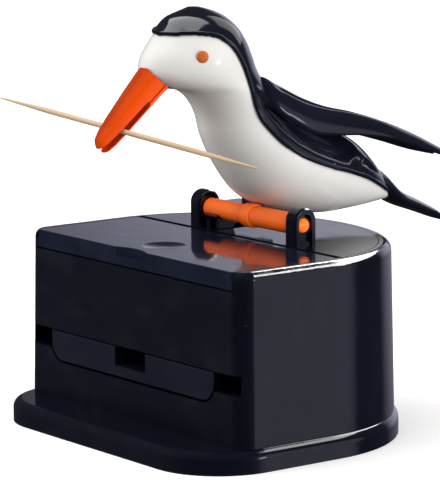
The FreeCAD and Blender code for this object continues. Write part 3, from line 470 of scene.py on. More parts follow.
@dataclass(frozen=True)
class BirchWood:
    """Pale turned wood whose grain runs along each pick, by its own coordinates."""

    name: str
    pale: Triple = (0.74, 0.54, 0.35)
    ripe: Triple = (0.60, 0.41, 0.24)
    dark: Triple = (0.36, 0.20, 0.09)
    roughness: Pair = (0.5, 0.72)
    pores: float = 0.6
    pore_band: Pair = (0.62, 0.76)
    stretch: float = 0.045     # how much finer the grain is across than along
    fibre_mm: float = 0.03     # depth of the fibres
    fibre_width_mm: float = 0.28
    fibre_band: Pair = (0.2, 0.8)
    streak_mm: float = 1.3     # width of the broad streaks
    streak_band: Pair = (0.3, 0.7)

    def material(self) -> bpy.types.Material:
        """Build the material.

        Returns:
            The material.
        """
        shader = Shader(self.name)
        own = shader.node("ShaderNodeAttribute", {"attribute_name": GRAIN})
        along = shader.wire(shader.node("ShaderNodeMapping", None,
                                        {"Vector": shader.wire(own, "Vector"),
                                         "Scale": (1.0, 1.0, self.stretch)}))
        fibres = shader.noise(along, self.fibre_width_mm, detail=3.0, rough=0.65)
        streaks = shader.noise(along, self.streak_mm, detail=2.0)
        base = shader.blend(streaks.band(*self.streak_band), self.pale, self.ripe)
        base = shader.blend(fibres.band(*self.pore_band) * self.pores, base, self.dark)
        return shader.finish({"Base Color": base,
                              "Roughness": fibres.band(*self.fibre_band, *self.roughness),
                              "Normal": shader.bump(fibres, self.fibre_mm)})


# The navy of the box and base is about a third as bright as the lid's navy: painted shade that
# keeps the box's side wall dark under the strong side light.
SHADED_NAVY = GlossPlastic("navy_gloss_shaded", (0.0032, 0.0043, 0.0098), (0.0025, 0.0033, 0.0078))
LID_NAVY = GlossPlastic("lid_gloss", (0.0085, 0.012, 0.027), (0.006, 0.0085, 0.020),
                        roughness=0.06)
DRAWER_NAVY = GlossPlastic("drawer_gloss", (0.0055, 0.0077, 0.0175), (0.0042, 0.006, 0.0135),
                           roughness=0.14)
BIRD_BLACK = GlossPlastic("back_gloss", (0.0055, 0.0068, 0.014), (0.004, 0.005, 0.0105),
                          roughness=0.08, smudge=0.08)
BIRD_WHITE = GlossPlastic("belly_gloss", (0.80, 0.795, 0.775), (0.76, 0.755, 0.735),
                          roughness=0.16, ripple_mm=0.004, dust=0.05)
BEAK_RED = GlossPlastic("beak_gloss", (0.395, 0.036, 0.001), (0.365, 0.032, 0.001),
                        roughness=0.26, smudge=0.12, coat=0.0, shine=0.08)
MOUTH_RED = GlossPlastic("mouth_gloss", (0.60, 0.045, 0.001), (0.52, 0.037, 0.001),
                         roughness=0.28, coat=0.0, shine=0.1)
PERCH_ORANGE = GlossPlastic("perch_gloss", (0.83, 0.137, 0.011), (0.78, 0.120, 0.009),
                            roughness=0.2, smudge=0.12)
EYE_ORANGE = GlossPlastic("eye_gloss", (0.63, 0.155, 0.032), (0.56, 0.13, 0.026),
                          roughness=0.16)
INNER_GREY = SatinPlastic("inner_satin", (0.055, 0.058, 0.066), (0.043, 0.046, 0.053))
STEEL = DrawnSteel("bright_steel")
RUBBER = SoftRubber("pad_rubber")
WOOD = BirchWood("pick_wood")


class Paint:
    """The finishes, each built once and found by its slot."""

    FINISHES = {
        Slot.BOX: SHADED_NAVY, Slot.LID: LID_NAVY, Slot.DRAWER: DRAWER_NAVY, Slot.INNER: INNER_GREY,
        Slot.PERCH: PERCH_ORANGE, Slot.BIRD_WHITE: BIRD_WHITE, Slot.BIRD_BLACK: BIRD_BLACK,
        Slot.BEAK: BEAK_RED, Slot.MOUTH: MOUTH_RED, Slot.EYE: EYE_ORANGE, Slot.PICK: WOOD,
        Slot.STEEL: STEEL, Slot.PAD: RUBBER}

    def __init__(self) -> None:
        """Build every material."""
        self.materials = {slot.value: finish.material()
                          for slot, finish in self.FINISHES.items()}

    def __getitem__(self, slot: Slot) -> bpy.types.Material:
        """The material of a slot."""
        return self.materials[slot.value]

    def dress_frame(self, nodes: dict[str, bpy.types.Object]) -> None:
        """Give every node of the frame its finish, by the slot that it came with.

        Args:
            nodes: the frame's nodes by name.
        """
        for node in nodes.values():
            for place in node.material_slots:
                slot = place.material.name.split(".")[0] if place.material else ""
                if slot in self.materials:
                    place.material = self.materials[slot]


# ------------------------------------------------------------------ forms
def turns(count: int) -> list[float]:
    """Evenly spaced angles round a full circle, in radians."""
    return [math.tau * i / count for i in range(count)]


def hoop(radius: float, height: float, count: int) -> list[Vector]:
    """Points of a level circle about the Z axis."""
    return [Vector((radius * math.cos(t), radius * math.sin(t), height)) for t in turns(count)]


def tilt(axis: Vector) -> Matrix:
    """Rotation that lays the Z axis along another axis."""
    return Vector((0, 0, 1)).rotation_difference(axis).to_matrix()


def smooth(low: float, high: float, value: float) -> float:
    """Soft step between two values, which may also fall.

    Args:
        low: value up to which the result is 0.
        high: value from which it is 1.
        value: the value asked about.

    Returns:
        A number from 0 to 1.
    """
    t = min(max((value - low) / (high - low), 0.0), 1.0)
    return t * t * (3 - 2 * t)


class Form:
    """A mesh under construction, in millimetres."""

    MERGE = 1e-4               # distance below which two vertices are one

    def __init__(self) -> None:
        """Start empty."""
        self.mesh = bmesh.new()

    # ---- making
    def ring(self, points: Sequence[Vector]) -> list[bmesh.types.BMEdge]:
        """Lay a circle of edges onto points.

        Args:
            points: places of its vertices in order.

        Returns:
            The ring's edges.
        """
        made = bmesh.ops.create_circle(self.mesh, cap_ends=False, radius=1.0,
                                       segments=len(points))["verts"]
        for vertex, point in zip(made, points):
            vertex.co = point
        return list(dict.fromkeys(edge for vertex in made for edge in vertex.link_edges))

    def loft(self, rings: Sequence[Sequence[Vector]]) -> "Form":
        """Skin a row of rings and close its two ends.

        Args:
            rings: points of each ring, all in the same order.

        Returns:
            This form.
        """
        loops = [self.ring(points) for points in rings]
        for first, second in zip(loops, loops[1:]):
            bmesh.ops.bridge_loops(self.mesh, edges=first + second)
        for end in (loops[0], loops[-1]):
            bmesh.ops.edgeloop_fill(self.mesh, edges=end)
        return self.tidy()

    def prism(self, outline: Sequence[Pair], half: float) -> "Form":
        """Extrude an outline of (y, z) points along X.

        Args:
            outline: the corners in order.
            half: how far it reaches on each side of the middle plane.

        Returns:
            This form.
        """
        corners = [self.mesh.verts.new((-half, y, z)) for y, z in outline]
        face = self.mesh.faces.new(corners)
        grown = bmesh.ops.extrude_face_region(self.mesh, geom=[face])["geom"]
        moved = [item for item in grown if isinstance(item, bmesh.types.BMVert)]
        bmesh.ops.translate(self.mesh, vec=(2 * half, 0, 0), verts=moved)
        return self.tidy()

    def block(self, x: Pair, y: Pair, z: Pair) -> "Form":
        """Add a rectangular block.

        Args:
            x: where it starts and ends along X.
            y: where it starts and ends along Y.
            z: where it starts and ends along Z.

        Returns:
            This form.
        """
        middle = Vector(((x[0] + x[1]) / 2, (y[0] + y[1]) / 2, (z[0] + z[1]) / 2))
        made = bmesh.ops.create_cube(self.mesh, size=1.0)["verts"]
        bmesh.ops.scale(self.mesh, vec=(x[1] - x[0], y[1] - y[0], z[1] - z[0]), verts=made)
        bmesh.ops.translate(self.mesh, vec=middle, verts=made)
        return self

    def lathe(self, profile: Sequence[Pair], y: float, z: float, steps: int = 64) -> "Form":
        """Turn a profile about a line along X.

        Args:
            profile: (x, radius) points from end to end; a radius of 0 closes an end.
            y: place of the line.
            z: place of the line.
            steps: faces round.

        Returns:
            This form.
        """
        verts = [self.mesh.verts.new((x, y + radius, z)) for x, radius in profile]
        edges = [self.mesh.edges.new(pair) for pair in zip(verts, verts[1:])]
        bmesh.ops.spin(self.mesh, geom=verts + edges, cent=(0, y, z), axis=(1, 0, 0),
                       angle=math.tau, steps=steps, use_merge=True, use_duplicate=False)
        return self.tidy()

    def rod(self, start: Vector, end: Vector, radius: float, steps: int) -> "Form":
        """Add a plain round rod.

        Args:
            start: middle of its first end.
            end: middle of its other end.
            radius: its radius.
            steps: faces round.

        Returns:
            This form.
        """
        axis = end - start
        place = Matrix.Translation((start + end) / 2) @ tilt(axis).to_4x4()
        bmesh.ops.create_cone(self.mesh, cap_ends=True, segments=steps, radius1=radius,
                              radius2=radius, depth=axis.length, matrix=place)
        return self

    def cross_rod(self, x: Pair, line: Pair, radius: float, steps: int) -> "Form":
        """Add a rod along X, from one x to another, on a line at (y, z)."""
        return self.rod(Vector((x[0], *line)), Vector((x[1], *line)), radius, steps)

    # ---- shaping
    def tidy(self) -> "Form":
        """Merge doubles and turn every face outwards.

        Returns:
            This form.
        """
        bmesh.ops.remove_doubles(self.mesh, verts=self.mesh.verts, dist=self.MERGE)
        bmesh.ops.recalc_face_normals(self.mesh, faces=self.mesh.faces)
        return self

    def sharp_edges(self, degrees: float) -> list[bmesh.types.BMEdge]:
        """Find the sharp edges.

        Args:
            degrees: angle above which an edge counts as sharp.

        Returns:
            The edges.
        """
        limit = math.radians(degrees)
        return [edge for edge in self.mesh.edges
                if edge.is_manifold and edge.calc_face_angle(0.0) > limit]

    def bevel(self, width: float, segments: int, degrees: float,
              test: Callable[[bmesh.types.BMEdge], bool] | None = None) -> "Form":
        """Round the sharp edges.

        Args:
            width: how far the rounding reaches from an edge.
            segments: faces across it.
            degrees: angle above which an edge counts as sharp.
            test: picks some of those edges.

        Returns:
            This form.
        """
        edges = [edge for edge in self.sharp_edges(degrees) if test is None or test(edge)]
        bmesh.ops.bevel(self.mesh, geom=edges, offset=width, offset_type="OFFSET",
                        segments=segments, profile=0.5, affect="EDGES", material=-1,
                        clamp_overlap=True)
        return self.tidy()

    def work(self, tool: "Form", cut: Cut) -> "Form":
        """Cut this form with another closed one, join it on, or keep what they share.

        Args:
            tool: the other form, which is used up.
            cut: what to do.

        Returns:
            This form.
        """
        ours = self._hold("work_piece")
        theirs = tool._hold("work_tool")
        modifier = ours.modifiers.new("cut", "BOOLEAN")
        modifier.operation = cut.value
        modifier.solver = "EXACT"
        modifier.object = theirs
        view = bpy.context.evaluated_depsgraph_get()
        worked = bpy.data.meshes.new_from_object(ours.evaluated_get(view))
        self.mesh.clear()
        self.mesh.from_mesh(worked)
        for spare in (ours, theirs):
            data = spare.data
            bpy.data.objects.remove(spare)
            bpy.data.meshes.remove(data)
        bpy.data.meshes.remove(worked)
        tool.mesh.free()
        return self

    def _hold(self, name: str) -> bpy.types.Object:
        """Make a passing object that shows this form.

        Args:
            name: its name.

        Returns:
            The object.
        """
        data = bpy.data.meshes.new(name)
        self.mesh.to_mesh(data)
        held = bpy.data.objects.new(name, data)
        bpy.context.scene.collection.objects.link(held)
        return held

    def copy(self) -> "Form":
        """Copy the form in its place.

        Returns:
            The copy.
        """
        twin = Form()
        twin.mesh.free()
        twin.mesh = self.mesh.copy()
        return twin

    def mirrored(self) -> "Form":
        """Copy the form to the other side of the middle plane.

        Returns:
            The copy.
        """
        twin = self.copy()
        bmesh.ops.scale(twin.mesh, vec=(-1, 1, 1), verts=twin.mesh.verts)
        return twin.tidy()

    def move(self, shift: Callable[[Vector], Vector]) -> "Form":
        """Move every vertex.

        Args:
            shift: rule that gives a vertex's new place from its old one.

        Returns:
            This form.
        """
        for vertex in self.mesh.verts:
            vertex.co = shift(vertex.co)
        return self

    # ---- handing over
    def publish(self, name: str, body: Body, slot: Slot, paint: Paint, replaces: str,
                crease: float = 32.0, flats: bool = False) -> None:
        """Turn the form into a finished piece of the model.

        Args:
            name: the piece's name.
            body: what it moves with.
            slot: its finish.
            paint: the finishes.
            replaces: the node it stands for.
            crease: angle above which an edge stays crisp, in degrees.
            flats: whether its large faces shade flat between rounded edges.
        """
        bmesh.ops.scale(self.mesh, vec=(MM, MM, MM), verts=self.mesh.verts)
        data = bpy.data.meshes.new(name)
        self.mesh.to_mesh(data)
        self.mesh.free()
        data.shade_smooth()
        data.set_sharp_from_angle(angle=math.radians(crease))
        data.materials.append(paint[slot])
        piece = bpy.data.objects.new(name, data)
        bpy.context.scene.collection.objects.link(piece)
        if flats:
            piece.modifiers.new("flats", "WEIGHTED_NORMAL").keep_sharp = True
        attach(piece, body.value)
        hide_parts(replaces)
        LOG.info("%s: %d faces, with %s", name, len(data.polygons), body.value)


class Track:
    """Smooth path through rows of numbers, read at any distance along it."""

    def __init__(self, stops: Sequence[float], rows: Sequence[Sequence[float]]) -> None:
        """Keep the rows and work out the slope at each.

        Args:
            stops: rising distances, one for each row.
            rows: the numbers at each stop.
        """
        self.stops = list(stops)
        self.rows = [list(row) for row in rows]
        self.slopes = [self._slope(i) for i in range(len(rows))]

    def _slope(self, i: int) -> list[float]:
        """Slope of each number at a stop, weighted towards its nearer neighbour.

        Args:
            i: which stop.

        Returns:
            The slopes.
        """
        last = len(self.rows) - 1
        if i in (0, last):
            a, b = (0, 1) if i == 0 else (last - 1, last)
            gap = self.stops[b] - self.stops[a]
            return [(q - p) / gap for p, q in zip(self.rows[a], self.rows[b])]
        before = self.stops[i] - self.stops[i - 1]
        after = self.stops[i + 1] - self.stops[i]
        slopes = []
        for p, q, r in zip(self.rows[i - 1], self.rows[i], self.rows[i + 1]):
            slopes.append(((q - p) / before * after + (r - q) / after * before)
                          / (before + after))
        return slopes

    def at(self, distance: float) -> list[float]:
        """Read the path.

        Args:
            distance: how far along it.

        Returns:
            The numbers there.
        """
        distance = min(max(distance, self.stops[0]), self.stops[-1])
        i = 0
        while i < len(self.stops) - 2 and self.stops[i + 1] < distance:
            i += 1
        gap = self.stops[i + 1] - self.stops[i]
        t = (distance - self.stops[i]) / gap
        a, b = 2 * t ** 3 - 3 * t ** 2 + 1, t ** 3 - 2 * t ** 2 + t
        c, d = 3 * t ** 2 - 2 * t ** 3, t ** 3 - t ** 2
        ends = zip(self.rows[i], self.slopes[i], self.rows[i + 1], self.slopes[i + 1])
        return [a * p + b * gap * m + c * q + d * gap * n for p, m, q, n in ends]

    def spread(self, count: int) -> list[float]:
        """Evenly spaced distances from end to end."""
        first, last = self.stops[0], self.stops[-1]
        return [first + (last - first) * i / (count - 1) for i in range(count)]


def depth_inside(point: Pair, outline: Sequence[Pair]) -> float:
    """How far a point lies inside a closed outline.

    Args:
        point: the point.
        outline: corners of the outline in order.

    Returns:
        Distance to the nearest side, or 0 outside the outline.
    """
    y, z = point
    inside = False
    nearest = math.inf
    for (y0, z0), (y1, z1) in zip(outline, (*outline[1:], outline[0])):
        if (z0 > z) != (z1 > z) and y < (y1 - y0) * (z - z0) / (z1 - z0) + y0:
            inside = not inside
        dy, dz = y1 - y0, z1 - z0
        t = min(max(((y - y0) * dy + (z - z0) * dz) / (dy * dy + dz * dz), 0.0), 1.0)
        nearest = min(nearest, math.hypot(y - y0 - t * dy, z - z0 - t * dz))
    return nearest if inside else 0.0


# ------------------------------------------------------------------ bird
@dataclass
class BirdBody:
    """White body with a black back that stands a little proud and ends in a rounded rim."""

    sections: tuple[Section, ...] = (
        ((-21.9, 89.9), (-20.6, 89.9), 0.6), ((-23.4, 89.3), (-18.6, 89.4), 2.0),
        ((-26.4, 88.0), (-15.8, 88.3), 4.8), ((-28.6, 85.8), (-12.9, 86.2), 7.3),
        ((-31.0, 82.8), (-10.5, 83.1), 9.0), ((-33.3, 79.3), (-8.8, 79.7), 9.8),
        ((-33.6, 76.3), (-7.6, 76.9), 9.8), ((-29.6, 73.7), (-6.3, 74.6), 9.3),
        ((-23.4, 72.2), (-5.0, 72.2), 8.9), ((-19.6, 67.8), (-3.0, 70.0), 8.8),
        ((-17.8, 62.1), (0.2, 67.6), 9.4), ((-13.8, 55.0), (5.0, 65.3), 10.8),
        ((-8.1, 48.5), (10.2, 63.2), 11.6), ((0.2, 45.0), (14.8, 60.9), 11.2),
        ((9.6, 43.6), (19.5, 58.1), 9.8), ((19.0, 43.8), (23.9, 54.2), 7.2),
        ((26.2, 44.4), (27.8, 49.8), 4.4), ((30.2, 44.8), (30.6, 47.0), 2.0),
        ((31.6, 45.0), (31.7, 45.9), 0.8))
    tail: tuple[Section, ...] = (
        ((21.5, 47.6), (23.6, 54.2), 5.6), ((26.8, 46.2), (28.1, 50.9), 5.0),
        ((31.9, 43.3), (32.8, 46.7), 4.1), ((38.2, 41.0), (39.0, 43.6), 3.2),
        ((44.0, 38.9), (44.6, 40.7), 2.2), ((47.0, 38.0), (47.4, 38.8), 1.0))
    colour_line: tuple[Pair, ...] = (
        (-38.0, 84.9), (-30.6, 84.9), (-25.1, 85.2), (-19.9, 83.7), (-16.0, 79.7), (-13.4, 74.6),
        (-11.5, 68.5), (-8.1, 63.4), (-2.9, 59.1), (3.0, 56.3), (12.6, 53.3), (18.5, 51.3),
        (25.7, 48.1), (31.4, 45.4), (36.0, 41.9), (41.0, 39.2))
    line_steps: int = 160
    above: Triple = (30.0, 70.0, 110.0)      # half width, back and top of the room over the line
    pocket: tuple[Pair, ...] = (
        (-10.6, 70.4), (-9.9, 67.9), (-7.5, 65.0), (-5.0, 62.4), (-2.1, 60.0), (1.6, 57.9),
        (5.7, 56.2), (10.2, 54.8), (12.6, 54.4), (14.8, 55.7), (16.3, 56.9), (16.6, 58.4),
        (14.0, 61.0), (8.0, 63.5), (0.0, 66.5), (-6.0, 70.0))
    rear_pocket: tuple[Pair, ...] = (
        (15.4, 54.2), (17.2, 55.6), (19.3, 55.2), (21.8, 53.3), (24.6, 50.9), (20.0, 52.2))
    pocket_depth: float = 1.5
    pocket_slope: float = 2.2                # width of its sloping wall
    rear_pocket_depth: float = 0.8
    rear_pocket_slope: float = 1.2
    proud: float = 0.5
    rings: int = 130
    tail_rings: int = 60
    around: int = 96
    width_pace: float = 0.35                 # how much a change of width counts as distance
    # the fold at the throat, from untouched to fully eased: behind, ahead, below, above, beside
    fold: tuple[Pair, ...] = (
        (-14.0, -17.5), (-31.0, -27.0), (64.0, 67.0), (79.0, 75.0), (0.5, 3.0))
    ease_rounds: int = 10
    ease_share: float = 0.7
    rim_ends: Pair = (-29.9, 30.9)
    rim_steps: int = 150
    rim_sides: int = 16
    rim_half: float = 0.52
    rim_height: float = 0.42
    rim_lift: float = 0.02
    rim_share: float = 0.6                   # how high the rim runs on the back's proud edge
    rim_taper: int = 9                       # rings over which its ends taper
    rim_end: float = 0.25                    # share of its thickness at an end
    rim_gap: float = 0.15                    # least distance between two rings
    perch: Pair = (-6.3, 44.5)
    perch_room: float = 2.97
    perch_reach: float = 20.0
    # room for the beak's root, in the beak's own frame
    mouth: tuple[Pair, ...] = ((4.0, 2.0), (4.0, -3.6), (-3.4, -3.6), (-3.4, 1.2))
    mouth_half: float = 2.75
    eye: Triple = (8.9, -25.5, 80.4)
    eye_r: float = 1.3
    eye_sunk: float = 0.1
    # the eye's dome: heights and shares of its radius
    dome: tuple[Pair, ...] = (
        (0.0, 1.0), (0.25, 1.0), (0.42, 0.93), (0.58, 0.75), (0.68, 0.45), (0.72, 0.12))
    search: int = 400                        # sections tried when a point is looked for
    search_reach: float = 1.15               # how far past a half chord it may lie
    rough_search: int = 120
    rough_reach: float = 1.3

    def _track(self, sections: Sequence[Section]) -> Track:
        """Lay the sections out along the body.

        Args:
            sections: the sections from one end to the other.

        Returns:
            The path of front, back and half width.
        """
        rows = [[*front, *back, width] for front, back, width in sections]
        stops = [0.0]
        for p, q in zip(rows, rows[1:]):
            step = math.hypot(p[0] + p[2] - q[0] - q[2], p[1] + p[3] - q[1] - q[3]) / 2
            stops.append(stops[-1] + step + self.width_pace * abs(p[4] - q[4]))
        return Track(stops, rows)

    def _section(self, row: Sequence[float], grow: float) -> tuple[Vector, Vector, float]:
        """Measure a section.

        Args:
            row: its front, back and half width.
            grow: how much larger it is wanted.

        Returns:
            Its centre, half chord and half width.
        """
        front, back = Vector((0, row[0], row[1])), Vector((0, row[2], row[3]))
        half = (back - front) / 2
        return (front + back) / 2, half * (1 + grow / half.length), row[4] + grow

    def skin(self, sections: Sequence[Section], grow: float, count: int) -> Form:
        """Skin the sections.

        Args:
            sections: the sections from one end to the other.
            grow: how far the skin stands outside them.
            count: rings along it.

        Returns:
            A closed form.
        """
        track = self._track(sections)
        rings = []
        for distance in track.spread(count):
            centre, half, width = self._section(track.at(distance), grow)
            rings.append([centre + half * math.cos(t) + Vector((width * math.sin(t), 0, 0))
                          for t in turns(self.around)])
        return Form().loft(rings)

    def _flank(self, y: float, z: float, grow: float) -> Vector | None:
        """Find the right-hand point of the surface beside a place in the middle plane.

        Args:
            y: place in the middle plane.
            z: place in the middle plane.
            grow: how far the surface stands out.

        Returns:
            The point, or None where the body doesn't reach.
        """
        track = self._track(self.sections)
        place = Vector((0, y, z))
        before: float | None = None
        for distance in track.spread(self.search):
            centre, half, width = self._section(track.at(distance), grow)
            side = half.y * (place.z - centre.z) - half.z * (place.y - centre.y)
            along = (place - centre).dot(half) / half.length_squared
            if before is not None and before * side <= 0 and abs(along) <= self.search_reach:
                along = min(max(along, -1.0), 1.0)
                flat = centre + half * along
                return Vector((width * math.sqrt(1 - along * along), flat.y, flat.z))
            before = side
        return None

    def _outward(self, place: Vector) -> Vector:
        """Find the rough outward direction of the surface.

        Args:
            place: a point on it.

        Returns:
            The direction, of length 1.
        """
        track = self._track(self.sections)
        nearest, found = math.inf, Vector((1, 0, 0))
        for distance in track.spread(self.rough_search):
            centre, half, width = self._section(track.at(distance), 0.0)
            gap = abs((place - centre).dot(Vector((0, -half.z, half.y)).normalized()))
            reach = (place - centre).dot(half)
            if gap < nearest and abs(reach) < half.length_squared * self.rough_reach:
                nearest = gap
                along = reach / half.length_squared
                found = half.normalized() * (along / half.length)
                found += Vector((place.x / width ** 2, 0, 0))
        return found.normalized()

    def _fold_share(self, place: Vector) -> float:
        """How much a point belongs to the fold.

        Args:
            place: the point.

        Returns:
            A share from 0 to 1.
        """
        behind, ahead, below, above, beside = self.fold
        return (smooth(*behind, place.y) * smooth(*ahead, place.y) * smooth(*below, place.z)
                * smooth(*above, place.z) * smooth(*beside, abs(place.x)))

    def _eased(self, form: Form) -> Form:
        """Ease the fold between head and throat into one soft sweep on both flanks.

        Args:
            form: the body's skin.

        Returns:
            The same form.
        """
        for _ in range(self.ease_rounds):
            moved = {}
            for vertex in form.mesh.verts:
                share = self._fold_share(vertex.co)
                if share > 0:
                    near = [edge.other_vert(vertex).co for edge in vertex.link_edges]
                    middle = sum(near, Vector()) / len(near)
                    moved[vertex] = vertex.co.lerp(middle, share * self.ease_share)
            for vertex, place in moved.items():
                vertex.co = place
        return form

    def _line(self) -> Track:
        """Height of the colour line along Y."""
        return Track([y for y, _ in self.colour_line], [[z] for _, z in self.colour_line])

    def _above_line(self) -> Form:
        """Fill the room above the lower edge of the black back.

        Returns:
            A closed form.
        """
        line = self._line()
        half, back, top = self.above
        lower = [(y, line.at(y)[0]) for y in line.spread(self.line_steps)]
        front, low = self.colour_line[0][0], self.colour_line[-1][1]
        return Form().prism([*lower, (back, low), (back, top), (front, top)], half)

    def _hollow(self, place: Vector) -> Vector:
        """Sink the two pockets under the wings into the flank.

        Args:
            place: a point of the skin.

        Returns:
            Its new place.
        """
        deep = 0.0
        for outline, slope, depth in (
                (self.pocket, self.pocket_slope, self.pocket_depth),
                (self.rear_pocket, self.rear_pocket_slope, self.rear_pocket_depth)):
            deep += smooth(0.0, slope, depth_inside((place.y, place.z), outline)) * depth
        inwards = math.copysign(min(deep, abs(place.x)), place.x)
        return Vector((place.x - inwards, place.y, place.z))

    def _rim_path(self) -> list[Vector]:
        """Follow the colour line from one side over the forehead to the other.

        Returns:
            The middles of the rim's rings.
        """
        line = self._line()
        start, end = self.rim_ends
        right = []
        for i in range(self.rim_steps + 1):
            y = start + (end - start) * i / self.rim_steps
            point = self._flank(y, line.at(y)[0], self.proud * self.rim_share)
            if point is not None:
                right.append(point)
        path = [Vector((-p.x, p.y, p.z)) for p in reversed(right)] + right
        return [p for i, p in enumerate(path)
                if i == 0 or (p - path[i - 1]).length > self.rim_gap]

    def _rim(self) -> Form:
        """Make the rounded rim of the black back.

        Returns:
            A closed form.
        """
        path = self._rim_path()
        last = len(path) - 1
        rings = []
        for i, place in enumerate(path):
            ahead = (path[min(i + 1, last)] - path[max(i - 1, 0)]).normalized()
            out = self._outward(place)
            out = (out - ahead * out.dot(ahead)).normalized()
            side = ahead.cross(out)
            taper = smooth(0, self.rim_taper, min(i, last - i)) * (1 - self.rim_end)
            taper += self.rim_end
            rings.append([place + side * (math.cos(t) * self.rim_half * taper)
                          + out * (math.sin(t) * self.rim_height * taper + self.rim_lift)
                          for t in turns(self.rim_sides)])
        return Form().loft(rings)

    def build(self, paint: Paint) -> None:
        """Make the white body, the black back with its tail, and the eyes.

        Args:
            paint: the finishes.
        """
        white = self._eased(self.skin(self.sections, 0.0, self.rings))
        white.work(self._above_line(), Cut.TAKE)
        bore = Form().cross_rod((-self.perch_reach, self.perch_reach), self.perch,
                                self.perch_room, steps=64)
        white.work(bore, Cut.TAKE)
        white.work(Beak().prism_at(self.mouth, self.mouth_half), Cut.TAKE)
        white.publish("white_body", Body.BIRD, Slot.BIRD_WHITE, paint, "belly_shell")

        black = self._eased(self.skin(self.sections, self.proud, self.rings))
        black.work(self._above_line(), Cut.KEEP)
        black.move(self._hollow)
        black.work(self.skin(self.tail, 0.0, self.tail_rings), Cut.JOIN)
        black.work(self._rim(), Cut.JOIN)
        black.publish("black_back", Body.BIRD, Slot.BIRD_BLACK, paint, "back_shell",
                      crease=40.0)
        self._eyes(paint)

    def _eyes(self, paint: Paint) -> None:
        """Make the two domed eyes, a little sunk into the head.

        Args:
            paint: the finishes.
        """
        centre = Vector(self.eye)
        place = Matrix.Translation(centre) @ tilt(self._outward(centre)).to_4x4()
        right = Form().loft([hoop(self.eye_r * share, height - self.eye_sunk, count=40)
                             for height, share in self.dome])
        bmesh.ops.transform(right.mesh, matrix=place, verts=right.mesh.verts)
        left = right.mirrored()
        right.publish("eye_right", Body.BIRD, Slot.EYE, paint, "right_eye")
        left.publish("eye_left", Body.BIRD, Slot.EYE, paint, "left_eye")


@dataclass
class Wing:
    """Wing blade with a bead along its top, a groove below it and a notch between two feathers."""

    # y, upper edge (x, z), lower edge (x, z), half thickness and bow
    stations: tuple[tuple[float, Pair, Pair, float, float], ...] = (
        (-9.8, (3.6, 74.2), (7.2, 68.8), 0.7, 0.1), (-8.0, (4.2, 74.6), (8.3, 68.4), 0.9, 0.5),
        (-3.0, (3.7, 72.6), (9.4, 65.0), 1.0, 1.2), (3.0, (3.4, 69.5), (10.0, 62.2), 1.0, 1.5),
        (9.0, (3.3, 66.9), (10.1, 61.4), 0.9, 1.6), (16.0, (3.2, 64.9), (9.9, 60.8), 0.85, 1.5),
        (24.0, (3.2, 62.3), (9.3, 59.4), 0.8, 1.3), (33.1, (2.3, 59.0), (7.2, 56.8), 0.7, 1.0),
        (42.2, (1.6, 55.3), (4.8, 53.8), 0.55, 0.5), (46.6, (1.8, 53.5), (3.2, 52.7), 0.35, 0.1))
    count: int = 170
    around: int = 80
    squareness: Pair = (0.85, 0.8)           # powers that fill the section out, along and across
    groove_place: float = 0.30               # share of the way down the blade
    groove_drop: float = 0.12                # how much lower it runs behind the notch
    groove_width: float = 0.045
    groove_depth: float = 0.42
    groove_start: Pair = (-7.0, 0.0)
    groove_end: Pair = (46.0, 38.0)
    groove_shift: Pair = (1.0, 3.0)          # before and after the notch, where it drops
    notch_y: float = 23.2
    notch_half: float = 0.5
    notch_depth: float = 0.7
    step: float = 0.35                       # how far the rear feather lies below the front one
    step_rise: Pair = (0.5, 0.3)             # before and after the notch, where it steps down
    step_run: float = 16.0                   # over which it comes back to the blade's line
    upper_edge: Pair = (0.45, 0.05)          # shares of the way down, from still to fully sunk

    def _drop(self, y: float) -> float:
        """Work out how far the upper edge is sunk by the notch and the rear feather.

        Args:
            y: place along the blade.

        Returns:
            The depth.
        """
        notch = math.exp(-((y - self.notch_y) / self.notch_half) ** 2) * self.notch_depth
        before, after = self.step_rise
        rear = (smooth(self.notch_y - before, self.notch_y + after, y)
                * smooth(self.notch_y + self.step_run, self.notch_y, y))
        return notch + rear * self.step

    def _ring(self, y: float, row: Sequence[float]) -> list[Vector]:
        """Draw one section of the blade.

        Args:
            y: place along the blade.
            row: x and z of its upper and its lower edge, half thickness and bow.

        Returns:
            The points round it.
        """
        x0, z0, x1, z1, thick, bow = row
        centre = Vector(((x0 + x1) / 2, y, (z0 + z1) / 2))
        half = Vector((x1 - x0, 0, z1 - z0)) / 2
        out = Vector((z0 - z1, 0, x1 - x0)).normalized()
        before, after = self.groove_shift
        lower = smooth(self.notch_y - before, self.notch_y + after, y)
        groove = self.groove_place + self.groove_drop * lower
        points = []
        for turn in turns(self.around):
            along, across = math.cos(turn), math.sin(turn)
            along = math.copysign(abs(along) ** self.squareness[0], along)
            across = math.copysign(abs(across) ** self.squareness[1], across)
            point = centre + half * along + out * (across * thick + bow * (1 - along * along))
            down = (1 + along) / 2
            if across > 0:
                sunk = math.exp(-((down - groove) / self.groove_width) ** 2)
                sunk *= smooth(*self.groove_start, y)
                point -= out * (sunk * self.groove_depth * smooth(*self.groove_end, y))
            point.z -= smooth(*self.upper_edge, down) * self._drop(y)
            points.append(point)
        return points

    def build(self, paint: Paint) -> None:
        """Make both wings.

        Args:
            paint: the finishes.
        """
        rows = [[*upper, *lower, thick, bow] for _, upper, lower, thick, bow in self.stations]
        track = Track([station[0] for station in self.stations], rows)
        right = Form().loft([self._ring(y, track.at(y)) for y in track.spread(self.count)])
        left = right.mirrored()
        right.publish("wing_right", Body.BIRD, Slot.BIRD_BLACK, paint, "right_wing",
                      crease=50.0)
        left.publish("wing_left", Body.BIRD, Slot.BIRD_BLACK, paint, "left_wing",
                     crease=50.0)


